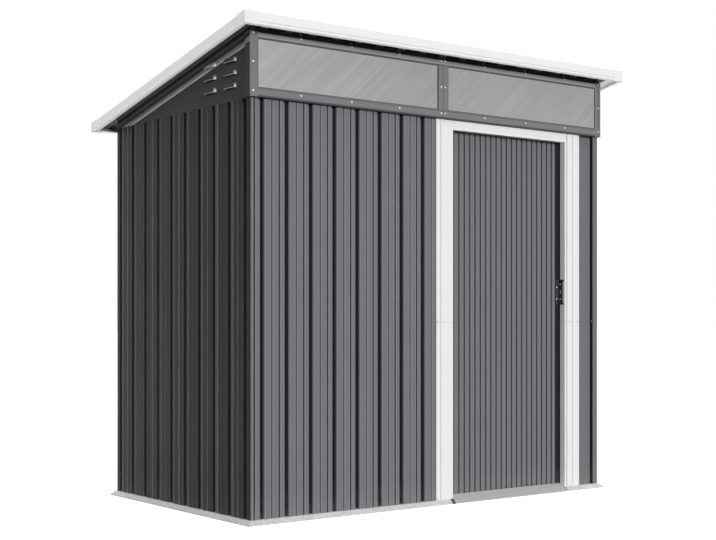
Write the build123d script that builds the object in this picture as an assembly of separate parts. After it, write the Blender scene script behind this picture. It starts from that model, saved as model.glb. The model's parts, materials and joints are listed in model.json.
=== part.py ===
from build123d import *
from math import cos, radians, tan
import os

# Lean-to metal storage shed with one sliding door, in millimetres.
# X runs along the door wall, Y runs from the door wall to the rear wall, Z is up.
# The origin is on the ground, in the middle of the outline that the roof covers.

# Walls
WALL_WIDTH = 1775.0
WALL_DEPTH = 1028.0
WALL_HEIGHT = 1500.0
SHEET_GAUGE = 1.2

# Ribs of the wall sheets, measured along the wall
RIB_PITCH = 106.5
RIB_TOP = 79.0
RIB_DEPTH = 14.0
FLANK_RUN = 3.5
CREASE_WIDTH = 6.0
CREASE_DEPTH = 3.0
CREASE_FIRST = 31.2
CREASE_SECOND = 64.0
FRONT_FIRST_RIB = 59.8
SIDE_FIRST_RIB = 54.8
REAR_FIRST_RIB = 59.8

# Base rail that runs round the foot of the walls
BASE_HEIGHT = 18.0
SKIRT_REACH = 20.0
SKIRT_LIP = 3.5
BASE_UPSTAND = 40.0
BASE_FLANGE = 25.0

# Roof, with the gap that it leaves over the window band
ROOF_PITCH = 12.0
ROOF_GAP = 14.4
FRONT_OVERHANG = 76.0
REAR_OVERHANG = 89.0
SIDE_OVERHANG = 72.0
ROOF_RIB_PITCH = 105.0
ROOF_RIB_TOP = 24.0
ROOF_RIB_RUN = 10.0
ROOF_RIB_HEIGHT = 15.0
ROOF_SHEET_PITCHES = 6

# White trim round the roof edge
TRIM_HEIGHT = 41.0
REAR_TRIM_HEIGHT = 32.0
TRIM_LIP = 9.0
TRIM_GROOVE = 3.0
TRIM_TOP_FLANGE = 42.0
TRIM_RETURN = 14.0
CAP_LENGTH = 48.0
CAP_GAUGE = 2.0

# Doorway and its white frame, with a plain strip of wall between it and the right corner
CORNER_STRIP = 113.0
SHEET_LAP = 5.0
JAMB_WIDTH = 88.0
OPENING_WIDTH = 627.0
HEADER_HEIGHT = 38.0
JAMB_PROUD = 2.0
JAMB_RETURN = 27.0
JAMB_SEAM = 700.0
SEAM_GAP = 0.6
GROOVE_WIDTH = 3.0
GROOVE_DEPTH = 1.6
LEFT_JAMB_GROOVE = 23.0
LEFT_JAMB_STEP = 43.0
RIGHT_JAMB_GROOVE = 13.0
RIGHT_JAMB_SECOND_GROOVE = 48.0
RIGHT_JAMB_STEP = 66.0
JAMB_STEP_RUN = 10.0
JAMB_STEP_DEPTH = 1.2
JAMB_LEG = 25.0
HEADER_GROOVE = 13.0

# Sliding door
DOOR_SETBACK = 30.0
LEAF_RIB_PITCH = 29.0
LEAF_RIB_TOP = 17.0
LEAF_RIB_RUN = 2.5
LEAF_RIB_DEPTH = 5.0
LEAF_LAP = 30.0
LEAF_BOTTOM = 8.0
LEAF_TOP_LAP = 11.0
STILE_SHOWN = 27.0
STILE_LAP = 16.0
FRAME_DEPTH = 14.0
FRAME_FACE = 30.0
FRAME_LIP = 12.0
RUNNING_GAP = 5.0
SLIDE_FIT = 0.3

# Handle
HANDLE_HEIGHT = 106.0
HANDLE_CENTRE = 826.0
HANDLE_GAUGE = 3.0
HANDLE_PLATE = 20.0
HANDLE_SPINE = 22.0
HANDLE_ARM = 8.0
HANDLE_ARM_REACH = 29.0
HANDLE_SLOT_LENGTH = 18.0
HANDLE_SLOT_WIDTH = 7.0
HANDLE_ROUND = 5.0
HANDLE_EDGE_ROUND = 2.0

# Tracks of the sliding door
TRACK_HEIGHT = 22.0
TRACK_WIDTH = 27.0
TRACK_GAUGE = 1.5
TRACK_SLOT = 10.0
GLIDE_LENGTH = 40.0
GLIDE_STEM = 6.0
GLIDE_HEAD = 8.0
GLIDE_INSET = 90.0
GLIDE_SIDE_PLAY = 2.0
FIN_HEIGHT = 18.0
RAMP_RISE = 32.0

# Window band over the door wall
BAND_PROUD = 10.0
BAND_BOTTOM_FACE = 34.7
BAND_TOP_FACE = 26.0
BAND_POST = 33.6
BAND_POST_RETURN = 32.0
MULLION_WIDTH = 50.0
PANE_THICKNESS = 4.0
PANE_FIT = 1.0

# Gables and the rails along their sloped tops
GABLE_RAIL_WEB = 38.0
GABLE_RAIL_FLANGE = 30.0
BEAD_DROP = 36.0
BEAD_HEIGHT = 21.0
BEAD_REACH = 2.0
RIDGE_DROP = 17.0
RIDGE_HEIGHT = 5.0
RIDGE_REACH = 1.5
LOUVRE_LENGTH = 80.0
LOUVRE_HEIGHT = 20.0
LOUVRE_REACH = 11.0
LOUVRE_MOUTH = 7.0
LOUVRE_ROW_PITCH = 47.0
LOUVRE_ROOF_GAP = 21.0
LOUVRE_FRONT = 93.0
LOUVRE_COLUMN_PITCH = 141.0
LOUVRE_ROWS = 3
LOUVRE_COLUMNS = 2

# Frame inside the walls
POST_WIDTH = 30.0
ANGLE_GAUGE = 1.5
MID_RAIL_HEIGHT = 700.0
MID_RAIL_WIDTH = 28.0
MID_RAIL_DEPTH = 8.0
TOP_RAIL_WIDTH = 23.0
TOP_RAIL_UPSTAND = 20.0
BEAM_SETBACK = 3.0
BEAM_WIDTH = 40.0
BEAM_HEIGHT = 38.0
REAR_RAIL_WIDTH = 30.0
REAR_RAIL_HEIGHT = 28.9

# Places that follow from the sizes above
slope = tan(radians(ROOF_PITCH))
roof_depth = FRONT_OVERHANG + WALL_DEPTH + REAR_OVERHANG
front = FRONT_OVERHANG - roof_depth / 2
rear = front + WALL_DEPTH
left = -WALL_WIDTH / 2
right = WALL_WIDTH / 2
foot = BASE_HEIGHT
wall_top = foot + WALL_HEIGHT
sheet_depth = RIB_DEPTH + SHEET_GAUGE
frame_line = sheet_depth + SHEET_GAUGE
roof_start = wall_top + REAR_RAIL_HEIGHT + slope * WALL_DEPTH
post_line = frame_line + POST_WIDTH
track_inset = frame_line + ANGLE_GAUGE

jamb_end = right - CORNER_STRIP
opening_right = jamb_end - JAMB_WIDTH
opening_left = opening_right - OPENING_WIDTH
jamb_start = opening_left - JAMB_WIDTH
opening_top = wall_top - HEADER_HEIGHT
jamb_face = front - JAMB_PROUD
jamb_back = jamb_face + JAMB_RETURN

door_front = front + DOOR_SETBACK
door_back = door_front + LEAF_RIB_DEPTH + SHEET_GAUGE
frame_back = door_back + FRAME_DEPTH
leaf_left = opening_left - LEAF_LAP
leaf_bottom = foot + LEAF_BOTTOM
leaf_top = opening_top + LEAF_TOP_LAP
stile_left = opening_right - STILE_SHOWN
stile_right = opening_right + STILE_LAP
track_centre = door_back + FRAME_DEPTH / 2
track_front = track_centre - TRACK_WIDTH / 2
track_back = track_centre + TRACK_WIDTH / 2

band_front = front - BAND_PROUD
band_left = left - BAND_PROUD
band_right = right + BAND_PROUD
band_top = roof_start - ROOF_GAP
band_post_back = band_front + BAND_POST_RETURN

roof_front = front - FRONT_OVERHANG
roof_rear = rear + REAR_OVERHANG
roof_left = left - SIDE_OVERHANG
roof_right = right + SIDE_OVERHANG
trim_rise = ROOF_RIB_HEIGHT + SHEET_GAUGE + SHEET_GAUGE / cos(radians(ROOF_PITCH))
rear_edge = roof_start - slope * (roof_rear - front) + trim_rise - REAR_TRIM_HEIGHT
sheet_start = roof_left + SHEET_GAUGE
sheet_seam = ROOF_SHEET_PITCHES * ROOF_RIB_PITCH / 2


def roof_z(y):
    """Height of the underside of the roof sheets at a place in the shed's depth."""
    return roof_start - slope * (y - front)


def folded(points, gauge):
    """Closed outline of sheet metal folded along a path, its gauge on the left of the path."""
    path = [Vector(x, y) for x, y in points]
    inner = []
    for i, corner in enumerate(path):
        sides = []
        if i > 0:
            sides.append((corner - path[i - 1]).normalized())
        if i < len(path) - 1:
            sides.append((path[i + 1] - corner).normalized())
        normals = [Vector(-side.Y, side.X) for side in sides]
        if len(normals) == 1:
            inner.append(corner + normals[0] * gauge)
        else:
            both = normals[0] + normals[1]
            inner.append(corner + both * (gauge / (1 + normals[0].dot(normals[1]))))
    return path + inner[::-1]


def sheet_outline(path):
    """Closed outline of a ribbed sheet whose two ends are cut square to the wall."""
    outline = folded(path, SHEET_GAUGE)
    last = len(path)
    for end, corner, neighbour in ((last, path[-1], path[-2]), (-1, path[0], path[1])):
        run = abs(corner[0] - neighbour[0])
        slant = (corner[1] - neighbour[1]) / run
        outline[end] = Vector(corner[0], corner[1] + SHEET_GAUGE * (1 + slant**2) ** 0.5)
    return [(point.X, point.Y) for point in outline]


def section(outline):
    """Flat face inside a closed outline."""
    return make_face(Polyline(*outline, close=True))


def along_x(outline, x_start, x_end):
    """Straight rail with an outline of (y, z) points that runs along X."""
    plane = Plane(origin=(x_start, 0, 0), x_dir=(0, 1, 0), z_dir=(1, 0, 0))
    return extrude(plane * section(outline), amount=x_end - x_start)


def along_y(outline, y_start, y_end, fall=0.0):
    """Rail with an outline of (x, z) points that runs to the rear, falling as the roof does."""
    plane = Plane(origin=(0, y_start, 0), x_dir=(1, 0, 0), z_dir=(0, -1, 0))
    heading = Vector(0, y_end - y_start, -fall * (y_end - y_start))
    return extrude(plane * section(outline), amount=heading.length, dir=heading.normalized())


def upright(outline, z_start, z_end):
    """Upright piece with an outline of (x, y) points."""
    return extrude(Plane.XY.offset(z_start) * section(outline), amount=z_end - z_start)


def block(low, high):
    """Solid box between its lowest and highest corners."""
    size = [b - a for a, b in zip(low, high)]
    return Pos(*low) * Box(*size, align=(Align.MIN, Align.MIN, Align.MIN))


def clipped(points, start, end):
    """Stretch of a path between two places along the wall."""
    kept = []
    for (a, p), (b, q) in zip(points, points[1:]):
        if b <= start or a >= end:
            continue
        for place, rise in ((a, p), (b, q)):
            inside = min(max(place, start), end)
            level = p + (q - p) * (inside - a) / (b - a) if b > a else rise
            if not kept or abs(inside - kept[-1][0]) > 1e-6:
                kept.append((inside, level))
    return kept


def wall_path(start, end, first_rib):
    """Rib line of a wall sheet as (along, depth): broad ribs with two creases, narrow valleys."""
    points = []
    count = int((end - first_rib) // RIB_PITCH) + 2
    for i in range(-1, count):
        rib = first_rib + i * RIB_PITCH
        points.append((rib - FLANK_RUN, RIB_DEPTH))
        points.append((rib, 0))
        for crease in (CREASE_FIRST, CREASE_SECOND):
            points.append((rib + crease - CREASE_WIDTH / 2, 0))
            points.append((rib + crease, CREASE_DEPTH))
            points.append((rib + crease + CREASE_WIDTH / 2, 0))
        points.append((rib + RIB_TOP, 0))
        points.append((rib + RIB_TOP + FLANK_RUN, RIB_DEPTH))
    return clipped(points, start, end)


def front_sheet(path):
    """Upright sheet in the front wall, from a rib line measured from the left corner."""
    return upright([(left + a, front + d) for a, d in sheet_outline(path)], foot, wall_top)


def front_wall():
    """Ribbed sheet left of the doorway, its edge tucked behind the jamb."""
    return front_sheet(wall_path(0, jamb_start + SHEET_LAP - left, FRONT_FIRST_RIB))


def front_wall_narrow():
    """Plain recessed strip right of the doorway with a rib at the corner."""
    start = jamb_end - SHEET_LAP - left
    corner_rib = WALL_WIDTH - (RIB_PITCH - RIB_TOP)
    path = [
        (start, RIB_DEPTH),
        (corner_rib - FLANK_RUN, RIB_DEPTH),
        (corner_rib, 0),
        (WALL_WIDTH, 0),
    ]
    return front_sheet(path)


def left_wall():
    """Ribbed sheet of the left wall, between the front and rear sheets."""
    path = wall_path(SHEET_GAUGE, WALL_DEPTH - SHEET_GAUGE, SIDE_FIRST_RIB)
    return upright([(left + d, front + a) for a, d in sheet_outline(path)], foot, wall_top)


def rear_wall():
    """Ribbed sheet of the rear wall."""
    path = wall_path(0, WALL_WIDTH, REAR_FIRST_RIB)
    return upright([(right - a, rear - d) for a, d in sheet_outline(path)], foot, wall_top)


def base_outline():
    """Base rail section as (outward, z): flange, lip, sloped skirt, ledge and upstand."""
    path = [
        (SKIRT_REACH - BASE_FLANGE, 0),
        (SKIRT_REACH, 0),
        (SKIRT_REACH, SKIRT_LIP),
        (SKIRT_REACH - foot + SKIRT_LIP, foot),
        (-sheet_depth, foot),
        (-sheet_depth, foot + BASE_UPSTAND),
    ]
    return [(point.X, point.Y) for point in folded(path, SHEET_GAUGE)]


def mitred(rail, corners):
    """Rail cut at 45 degrees at the corners given as (x, y, kept direction)."""
    for x, y, kept in corners:
        rail = split(rail, bisect_by=Plane(origin=(x, y, 0), z_dir=kept), keep=Keep.TOP)
    return rail


def base_front_rail():
    """Front base rail on both sides of the doorway."""
    outline = [(front - reach, z) for reach, z in base_outline()]
    rail = along_x(outline, left - SKIRT_REACH, right + SKIRT_REACH)
    rail = mitred(rail, [(left, front, (1, -1, 0)), (right, front, (-1, -1, 0))])
    below = -BASE_FLANGE
    above = foot + BASE_UPSTAND + BASE_FLANGE
    doorway = block((opening_left, roof_front, below), (opening_right, door_front, above))
    jamb_room = block(
        (jamb_start, front + sheet_depth, below), (jamb_end, door_front, above)
    )
    return rail - doorway - jamb_room


def base_rear_rail():
    """Rear base rail."""
    outline = [(rear + reach, z) for reach, z in base_outline()]
    rail = along_x(outline, left - SKIRT_REACH, right + SKIRT_REACH)
    return mitred(rail, [(left, rear, (1, 1, 0)), (right, rear, (-1, 1, 0))])


def base_left_rail():
    """Left base rail."""
    outline = [(left - reach, z) for reach, z in base_outline()]
    rail = along_y(outline, front - SKIRT_REACH, rear + SKIRT_REACH)
    return mitred(rail, [(left, front, (-1, 1, 0)), (left, rear, (-1, -1, 0))])


def door_ramp():
    """Sloped sill plate from the ground up to the door track."""
    top = door_front - RUNNING_GAP
    path = [
        (top, 0),
        (top, RAMP_RISE),
        (front - SKIRT_REACH, SKIRT_LIP),
        (front - SKIRT_REACH, 0),
    ]
    return along_x(folded(path, SHEET_GAUGE), opening_left, opening_right)


def door_bottom_track():
    """Inverted channel inside the door wall with the fin that guides the foot of the door."""
    fin_front = track_centre - TRACK_GAUGE / 2
    fin_back = track_centre + TRACK_GAUGE / 2
    outline = [
        (track_front, 0),
        (track_front, foot),
        (fin_front, foot),
        (fin_front, foot + FIN_HEIGHT),
        (fin_back, foot + FIN_HEIGHT),
        (fin_back, foot),
        (track_back, foot),
        (track_back, 0),
        (track_back - TRACK_GAUGE, 0),
        (track_back - TRACK_GAUGE, foot - TRACK_GAUGE),
        (track_front + TRACK_GAUGE, foot - TRACK_GAUGE),
        (track_front + TRACK_GAUGE, 0),
    ]
    return along_x(outline, left + track_inset, right - track_inset)


def door_top_track():
    """Channel under the band rail, its lips turned in below the glides of the door."""
    bottom = wall_top - TRACK_HEIGHT
    path = [
        (track_centre + TRACK_SLOT / 2, bottom),
        (track_back, bottom),
        (track_back, wall_top),
        (track_front, wall_top),
        (track_front, bottom),
        (track_centre - TRACK_SLOT / 2, bottom),
    ]
    return along_x(folded(path, TRACK_GAUGE), left + track_inset, right - track_inset)


def grooved(start, grooves, step):
    """Front face of a jamb as (along, depth) points, with V grooves and one slanted step."""
    points = []
    for groove in grooves:
        points.append((start + groove - GROOVE_WIDTH / 2, 0))
        points.append((start + groove, GROOVE_DEPTH))
        points.append((start + groove + GROOVE_WIDTH / 2, 0))
    points.append((start + step, 0))
    points.append((start + step + JAMB_STEP_RUN, JAMB_STEP_DEPTH))
    return points


def two_part(path):
    """Jamb in a lower and an upper part that meet at the seam."""
    seam = foot + JAMB_SEAM
    outline = folded(path, SHEET_GAUGE)
    lower = upright(outline, foot, seam - SEAM_GAP / 2)
    upper = upright(outline, seam + SEAM_GAP / 2, wall_top)
    return Compound([lower, upper])


def jamb_left():
    """Left jamb: it laps the wall sheet and turns in at the doorway."""
    shape = grooved(jamb_start, [LEFT_JAMB_GROOVE], LEFT_JAMB_STEP)
    path = [(jamb_start, front), (jamb_start, jamb_face)]
    path += [(x, jamb_face + depth) for x, depth in shape]
    path += [
        (opening_left, jamb_face + JAMB_STEP_DEPTH),
        (opening_left, jamb_back),
        (opening_left - JAMB_LEG, jamb_back),
    ]
    return two_part(path)


def jamb_right():
    """Right jamb: it turns in at the doorway and reaches back to the recessed strip."""
    grooves = [RIGHT_JAMB_GROOVE, RIGHT_JAMB_SECOND_GROOVE]
    shape = grooved(opening_right, grooves, RIGHT_JAMB_STEP)
    path = [
        (opening_right + JAMB_LEG, jamb_back),
        (opening_right, jamb_back),
        (opening_right, jamb_face),
    ]
    path += [(x, jamb_face + depth) for x, depth in shape]
    path += [(jamb_end, jamb_face + JAMB_STEP_DEPTH), (jamb_end, front + RIB_DEPTH)]
    return two_part(path)


def door_header():
    """White head of the doorway between the jambs."""
    groove = opening_top + HEADER_GROOVE
    path = [
        (jamb_face, wall_top),
        (jamb_face, groove + GROOVE_WIDTH / 2),
        (jamb_face + GROOVE_DEPTH, groove),
        (jamb_face, groove - GROOVE_WIDTH / 2),
        (jamb_face, opening_top),
        (jamb_back, opening_top),
    ]
    return along_x(folded(path, SHEET_GAUGE), opening_left, opening_right)


def leaf_path(start, end):
    """Rib line of the door leaf as (along, depth): ribs close together."""
    points = []
    count = int((end - start) // LEAF_RIB_PITCH) + 2
    for i in range(-1, count):
        rib = end - i * LEAF_RIB_PITCH
        valley = LEAF_RIB_PITCH - LEAF_RIB_TOP - 2 * LEAF_RIB_RUN
        points.append((rib, 0))
        points.append((rib - LEAF_RIB_TOP, 0))
        points.append((rib - LEAF_RIB_TOP - LEAF_RIB_RUN, LEAF_RIB_DEPTH))
        points.append((rib - LEAF_RIB_TOP - LEAF_RIB_RUN - valley, LEAF_RIB_DEPTH))
    return clipped(points[::-1], start, end)


def door_leaf():
    """Ribbed sheet of the sliding door."""
    path = leaf_path(leaf_left, stile_left)
    outline = [(x, door_front + depth) for x, depth in sheet_outline(path)]
    return upright(outline, leaf_bottom, leaf_top)


def notched(stile):
    """Stile with room at its foot for the fin of the bottom track."""
    room = block(
        (leaf_left - RUNNING_GAP, track_centre - RUNNING_GAP, 0),
        (
            stile_right + RUNNING_GAP,
            track_centre + RUNNING_GAP,
            foot + FIN_HEIGHT + RUNNING_GAP,
        ),
    )
    return stile - room


def door_leading_stile():
    """Channel that stiffens the closing edge of the door and shows beside the jamb."""
    path = [
        (stile_left + FRAME_LIP, frame_back),
        (stile_left, frame_back),
        (stile_left, door_front),
        (stile_right, door_front),
        (stile_right, frame_back),
        (stile_right - FRAME_LIP, frame_back),
    ]
    return notched(upright(folded(path, SHEET_GAUGE), leaf_bottom, leaf_top))


def door_trailing_stile():
    """Channel behind the other edge of the leaf."""
    path = [
        (leaf_left, door_back),
        (leaf_left + FRAME_FACE, door_back),
        (leaf_left + FRAME_FACE, frame_back),
        (leaf_left, frame_back),
    ]
    return notched(upright(folded(path, SHEET_GAUGE), leaf_bottom, leaf_top))


def door_rails():
    """Top and bottom channels of the leaf, both open downwards."""
    rails = []
    for top in (leaf_bottom + FRAME_FACE, leaf_top):
        path = [
            (frame_back, top - FRAME_FACE),
            (frame_back, top),
            (door_back, top),
            (door_back, top - FRAME_FACE),
        ]
        outline = folded(path, SHEET_GAUGE)
        rails.append(along_x(outline, leaf_left + FRAME_FACE, stile_left))
    return Compound(rails)


def door_glides():
    """Two nylon glides that carry the door on the lips of the top track."""
    seat = wall_top - TRACK_HEIGHT + TRACK_GAUGE + SLIDE_FIT
    head = TRACK_WIDTH / 2 - TRACK_GAUGE - GLIDE_SIDE_PLAY
    glides = []
    for start in (leaf_left + GLIDE_INSET, stile_right - GLIDE_INSET - GLIDE_LENGTH):
        outline = [
            (track_centre - GLIDE_STEM / 2, leaf_top),
            (track_centre + GLIDE_STEM / 2, leaf_top),
            (track_centre + GLIDE_STEM / 2, seat),
            (track_centre + head, seat),
            (track_centre + head, seat + GLIDE_HEAD),
            (track_centre - head, seat + GLIDE_HEAD),
            (track_centre - head, seat),
            (track_centre - GLIDE_STEM / 2, seat),
        ]
        glides.append(along_x(outline, start, start + GLIDE_LENGTH))
    return Compound(glides)


def door_handle():
    """Plate on the leading stile with a flange towards the user: spine, two arms and a slot."""
    low = foot + HANDLE_CENTRE - HANDLE_HEIGHT / 2
    high = low + HANDLE_HEIGHT
    flange_right = opening_right - RUNNING_GAP
    flange_left = flange_right - HANDLE_GAUGE
    plate_left = flange_right - HANDLE_PLATE
    plate_outline = FilletPolyline(
        (plate_left, low),
        (flange_right, low),
        (flange_right, high),
        (plate_left, high),
        radius=[HANDLE_ROUND, 0, 0, HANDLE_ROUND],
        close=True,
    )
    plate_place = Plane(origin=(0, door_front, 0), x_dir=(1, 0, 0), z_dir=(0, -1, 0))
    plate = extrude(plate_place * make_face(plate_outline), amount=HANDLE_GAUGE)
    spine_edge = door_front - HANDLE_GAUGE - HANDLE_SPINE
    arm_edge = door_front - HANDLE_GAUGE - HANDLE_ARM_REACH
    flange_outline = FilletPolyline(
        (door_front - HANDLE_GAUGE, low),
        (door_front - HANDLE_GAUGE, high),
        (arm_edge, high),
        (arm_edge, high - HANDLE_ARM),
        (spine_edge, high - HANDLE_ARM),
        (spine_edge, low + HANDLE_ARM),
        (arm_edge, low + HANDLE_ARM),
        (arm_edge, low),
        radius=[0, 0] + [HANDLE_EDGE_ROUND] * 2 + [HANDLE_ROUND] * 2 + [HANDLE_EDGE_ROUND] * 2,
        close=True,
    )
    flange_place = Plane(origin=(flange_left, 0, 0), x_dir=(0, 1, 0), z_dir=(1, 0, 0))
    flange = extrude(flange_place * make_face(flange_outline), amount=HANDLE_GAUGE)
    slot_place = Plane(
        origin=(flange_left, (spine_edge + door_front - HANDLE_GAUGE) / 2, (low + high) / 2),
        x_dir=(0, 0, 1),
        z_dir=(1, 0, 0),
    )
    slot = slot_place * SlotOverall(HANDLE_SLOT_LENGTH, HANDLE_SLOT_WIDTH)
    return plate + flange - extrude(slot, amount=HANDLE_GAUGE)


def band_bottom_rail():
    """Lower rail of the window band, whose flange covers the wall sheet and holds the track."""
    path = [
        (band_front, wall_top + BAND_BOTTOM_FACE),
        (band_front, wall_top),
        (track_back, wall_top),
    ]
    return along_x(folded(path, SHEET_GAUGE), band_left + BAND_POST, band_right - BAND_POST)


def band_top_rail():
    """Upper rail of the window band, turned back to the beam."""
    path = [
        (front + BEAM_SETBACK, band_top),
        (band_front, band_top),
        (band_front, band_top - BAND_TOP_FACE),
    ]
    return along_x(folded(path, SHEET_GAUGE), band_left + BAND_POST, band_right - BAND_POST)


def band_post_left():
    """Corner post of the window band, closed against the gable."""
    path = [
        (left, band_post_back),
        (band_left, band_post_back),
        (band_left, band_front),
        (band_left + BAND_POST, band_front),
    ]
    return upright(folded(path, SHEET_GAUGE), wall_top, band_top)


def band_mullion():
    """Two angles back to back between the panes."""
    face_left = -MULLION_WIDTH / 2
    middle = -SEAM_GAP / 2
    path = [(face_left, band_front), (middle, band_front), (middle, front)]
    strip = upright(
        folded(path, SHEET_GAUGE),
        wall_top + BAND_BOTTOM_FACE,
        band_top - BAND_TOP_FACE,
    )
    return Compound([strip, mirror(strip, about=Plane.YZ)])


def window_pane_left():
    """Frosted pane behind the band rails."""
    face = band_front + SHEET_GAUGE
    return block(
        (band_left + SHEET_GAUGE + PANE_FIT, face, wall_top + SHEET_GAUGE + PANE_FIT),
        (
            -SEAM_GAP / 2 - SHEET_GAUGE - PANE_FIT,
            face + PANE_THICKNESS,
            band_top - SHEET_GAUGE - PANE_FIT,
        ),
    )


def louvre_hood(inset):
    """Quarter-round hood with rounded ends, open at the bottom, or its inside at an inset."""
    reach = LOUVRE_REACH - inset
    height = LOUVRE_HEIGHT - inset
    end = LOUVRE_LENGTH / 2 - LOUVRE_REACH
    foot_line = Polyline((0, height), (0, 0), (reach, 0), (reach, LOUVRE_MOUTH))
    crown = TangentArc((reach, LOUVRE_MOUTH), (0, height), tangent=(0, 1))
    profile = make_face(foot_line.edges() + crown.edges())
    start = Plane(origin=(0, -end, 0), x_dir=(-1, 0, 0), z_dir=(0, 1, 0))
    hood = extrude(start * profile, amount=2 * end)
    for y, turn in ((-end, 90), (end, -90)):
        place = Plane(origin=(0, y, 0), x_dir=(-1, 0, 0), z_dir=(0, 1, 0))
        axis = Axis((0, y, 0), (0, 0, 1))
        hood = hood + revolve(place * profile, axis=axis, revolution_arc=turn)
    return hood


def louvre_places():
    """Bottom middle of each louvre on the gable as (y, z), hung from the roof line."""
    first = front + LOUVRE_FRONT + LOUVRE_LENGTH / 2
    last = first + (LOUVRE_COLUMNS - 1) * LOUVRE_COLUMN_PITCH
    top = roof_z(last + LOUVRE_LENGTH / 2) - LOUVRE_ROOF_GAP - LOUVRE_HEIGHT
    return [
        (first + column * LOUVRE_COLUMN_PITCH, top - row * LOUVRE_ROW_PITCH)
        for column in range(LOUVRE_COLUMNS)
        for row in range(LOUVRE_ROWS)
    ]


def gable_bead(drop, height, reach):
    """Line pressed outwards in the gable plate, parallel to the roof and a drop below it."""
    bottom = wall_top + SHEET_GAUGE
    meets_bottom = front + (roof_z(front) - drop - height - bottom) / slope
    top = roof_z(front) - drop
    shape = [
        (left, top),
        (left - reach, top - height / 2),
        (left - reach, top - height + reach),
        (left, top - height),
    ]
    fall_to_start = slope * (band_post_back - front)
    shape = [(x, z - fall_to_start) for x, z in shape]
    return along_y(shape, band_post_back, min(rear, meets_bottom), fall=slope)


def gable_left():
    """Plate over the left wall with two pressed lines and louvres that open downwards."""
    bottom = wall_top + SHEET_GAUGE
    start = front + SHEET_GAUGE
    outline = [(start, bottom), (rear, bottom), (rear, roof_z(rear)), (start, roof_z(start))]
    plate = along_x(outline, left, left + SHEET_GAUGE)
    plate = plate + gable_bead(BEAD_DROP, BEAD_HEIGHT, BEAD_REACH)
    plate = plate + gable_bead(RIDGE_DROP, RIDGE_HEIGHT, RIDGE_REACH)
    hood = louvre_hood(0)
    hollow = louvre_hood(SHEET_GAUGE)
    for y, z in louvre_places():
        plate = plate + Pos(left, y, z) * hood
    slot_reach = LOUVRE_LENGTH / 2 - LOUVRE_REACH
    for y, z in louvre_places():
        slot = block(
            (left - SHEET_GAUGE, y - slot_reach, z),
            (left + LOUVRE_REACH, y + slot_reach, z + LOUVRE_MOUTH),
        )
        plate = plate - Pos(left, y, z) * hollow - slot
    return plate


def gable_rail_left():
    """Sloped angle behind the gable plate that carries the roof sheets."""
    start = front + SHEET_GAUGE
    end = front + (roof_z(front) - GABLE_RAIL_WEB - wall_top - SHEET_GAUGE) / slope
    top = roof_z(start)
    path = [
        (left + GABLE_RAIL_FLANGE, top),
        (left + SHEET_GAUGE, top),
        (left + SHEET_GAUGE, top - GABLE_RAIL_WEB),
    ]
    return along_y(folded(path, SHEET_GAUGE), start, end, fall=slope)


def roof_beam(start, bottom_drop):
    """Channel across the shed under the roof sheets."""
    top = roof_z(start)
    path = [
        (start + BEAM_WIDTH, roof_z(start + BEAM_WIDTH)),
        (start, top),
        (start, top - bottom_drop),
        (start + BEAM_WIDTH / 2, top - bottom_drop),
    ]
    inset = GABLE_RAIL_FLANGE
    return along_x(folded(path, SHEET_GAUGE), left + inset, right - inset)


def rear_top_rail():
    """Channel on the rear wall that carries the low edge of the roof."""
    path = [
        (rear - REAR_RAIL_WIDTH, wall_top),
        (rear, wall_top),
        (rear, roof_z(rear)),
        (rear - REAR_RAIL_WIDTH, roof_z(rear - REAR_RAIL_WIDTH)),
    ]
    inset = GABLE_RAIL_FLANGE
    return along_x(folded(path, SHEET_GAUGE), left + inset, right - inset)


def side_top_rail_left():
    """Angle on top of the left wall that the gable plate stands on."""
    path = [
        (left, wall_top),
        (left + TOP_RAIL_WIDTH, wall_top),
        (left + TOP_RAIL_WIDTH, wall_top + TOP_RAIL_UPSTAND),
    ]
    return along_y(folded(path, SHEET_GAUGE), front, rear)


def corner_posts():
    """Four angles inside the corners."""
    posts = []
    for x, x_side in ((left, 1), (right, -1)):
        for y, y_side in ((front, 1), (rear, -1)):
            corner_x = x + x_side * frame_line
            corner_y = y + y_side * frame_line
            far_x = corner_x + x_side * POST_WIDTH
            far_y = corner_y + y_side * POST_WIDTH
            gauge_x = corner_x + x_side * ANGLE_GAUGE
            gauge_y = corner_y + y_side * ANGLE_GAUGE
            outline = [
                (corner_x, corner_y),
                (far_x, corner_y),
                (far_x, gauge_y),
                (gauge_x, gauge_y),
                (gauge_x, far_y),
                (corner_x, far_y),
            ]
            posts.append(upright(outline, 0, wall_top))
    return Compound(posts)


def mid_rail_outline(face, side):
    """Shallow channel section against the back of a wall sheet, as (inward, z)."""
    low = foot + MID_RAIL_HEIGHT - MID_RAIL_WIDTH / 2
    high = low + MID_RAIL_WIDTH
    inner = face + side * MID_RAIL_DEPTH
    gauge = side * SHEET_GAUGE
    return [
        (face, low),
        (inner, low),
        (inner, high),
        (face, high),
        (face, high - SHEET_GAUGE),
        (inner - gauge, high - SHEET_GAUGE),
        (inner - gauge, low + SHEET_GAUGE),
        (face, low + SHEET_GAUGE),
    ]


def mid_rails():
    """Rails half way up behind the left, right, rear and front sheets."""
    side_rail = along_y(
        mid_rail_outline(left + sheet_depth, 1), front + post_line, rear - post_line
    )
    rear_rail = along_x(
        mid_rail_outline(rear - sheet_depth, -1), left + post_line, right - post_line
    )
    front_rail = along_x(
        mid_rail_outline(front + sheet_depth, 1),
        left + post_line,
        opening_left - JAMB_LEG - RUNNING_GAP,
    )
    return Compound([side_rail, mirror(side_rail, about=Plane.YZ), rear_rail, front_rail])


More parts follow.
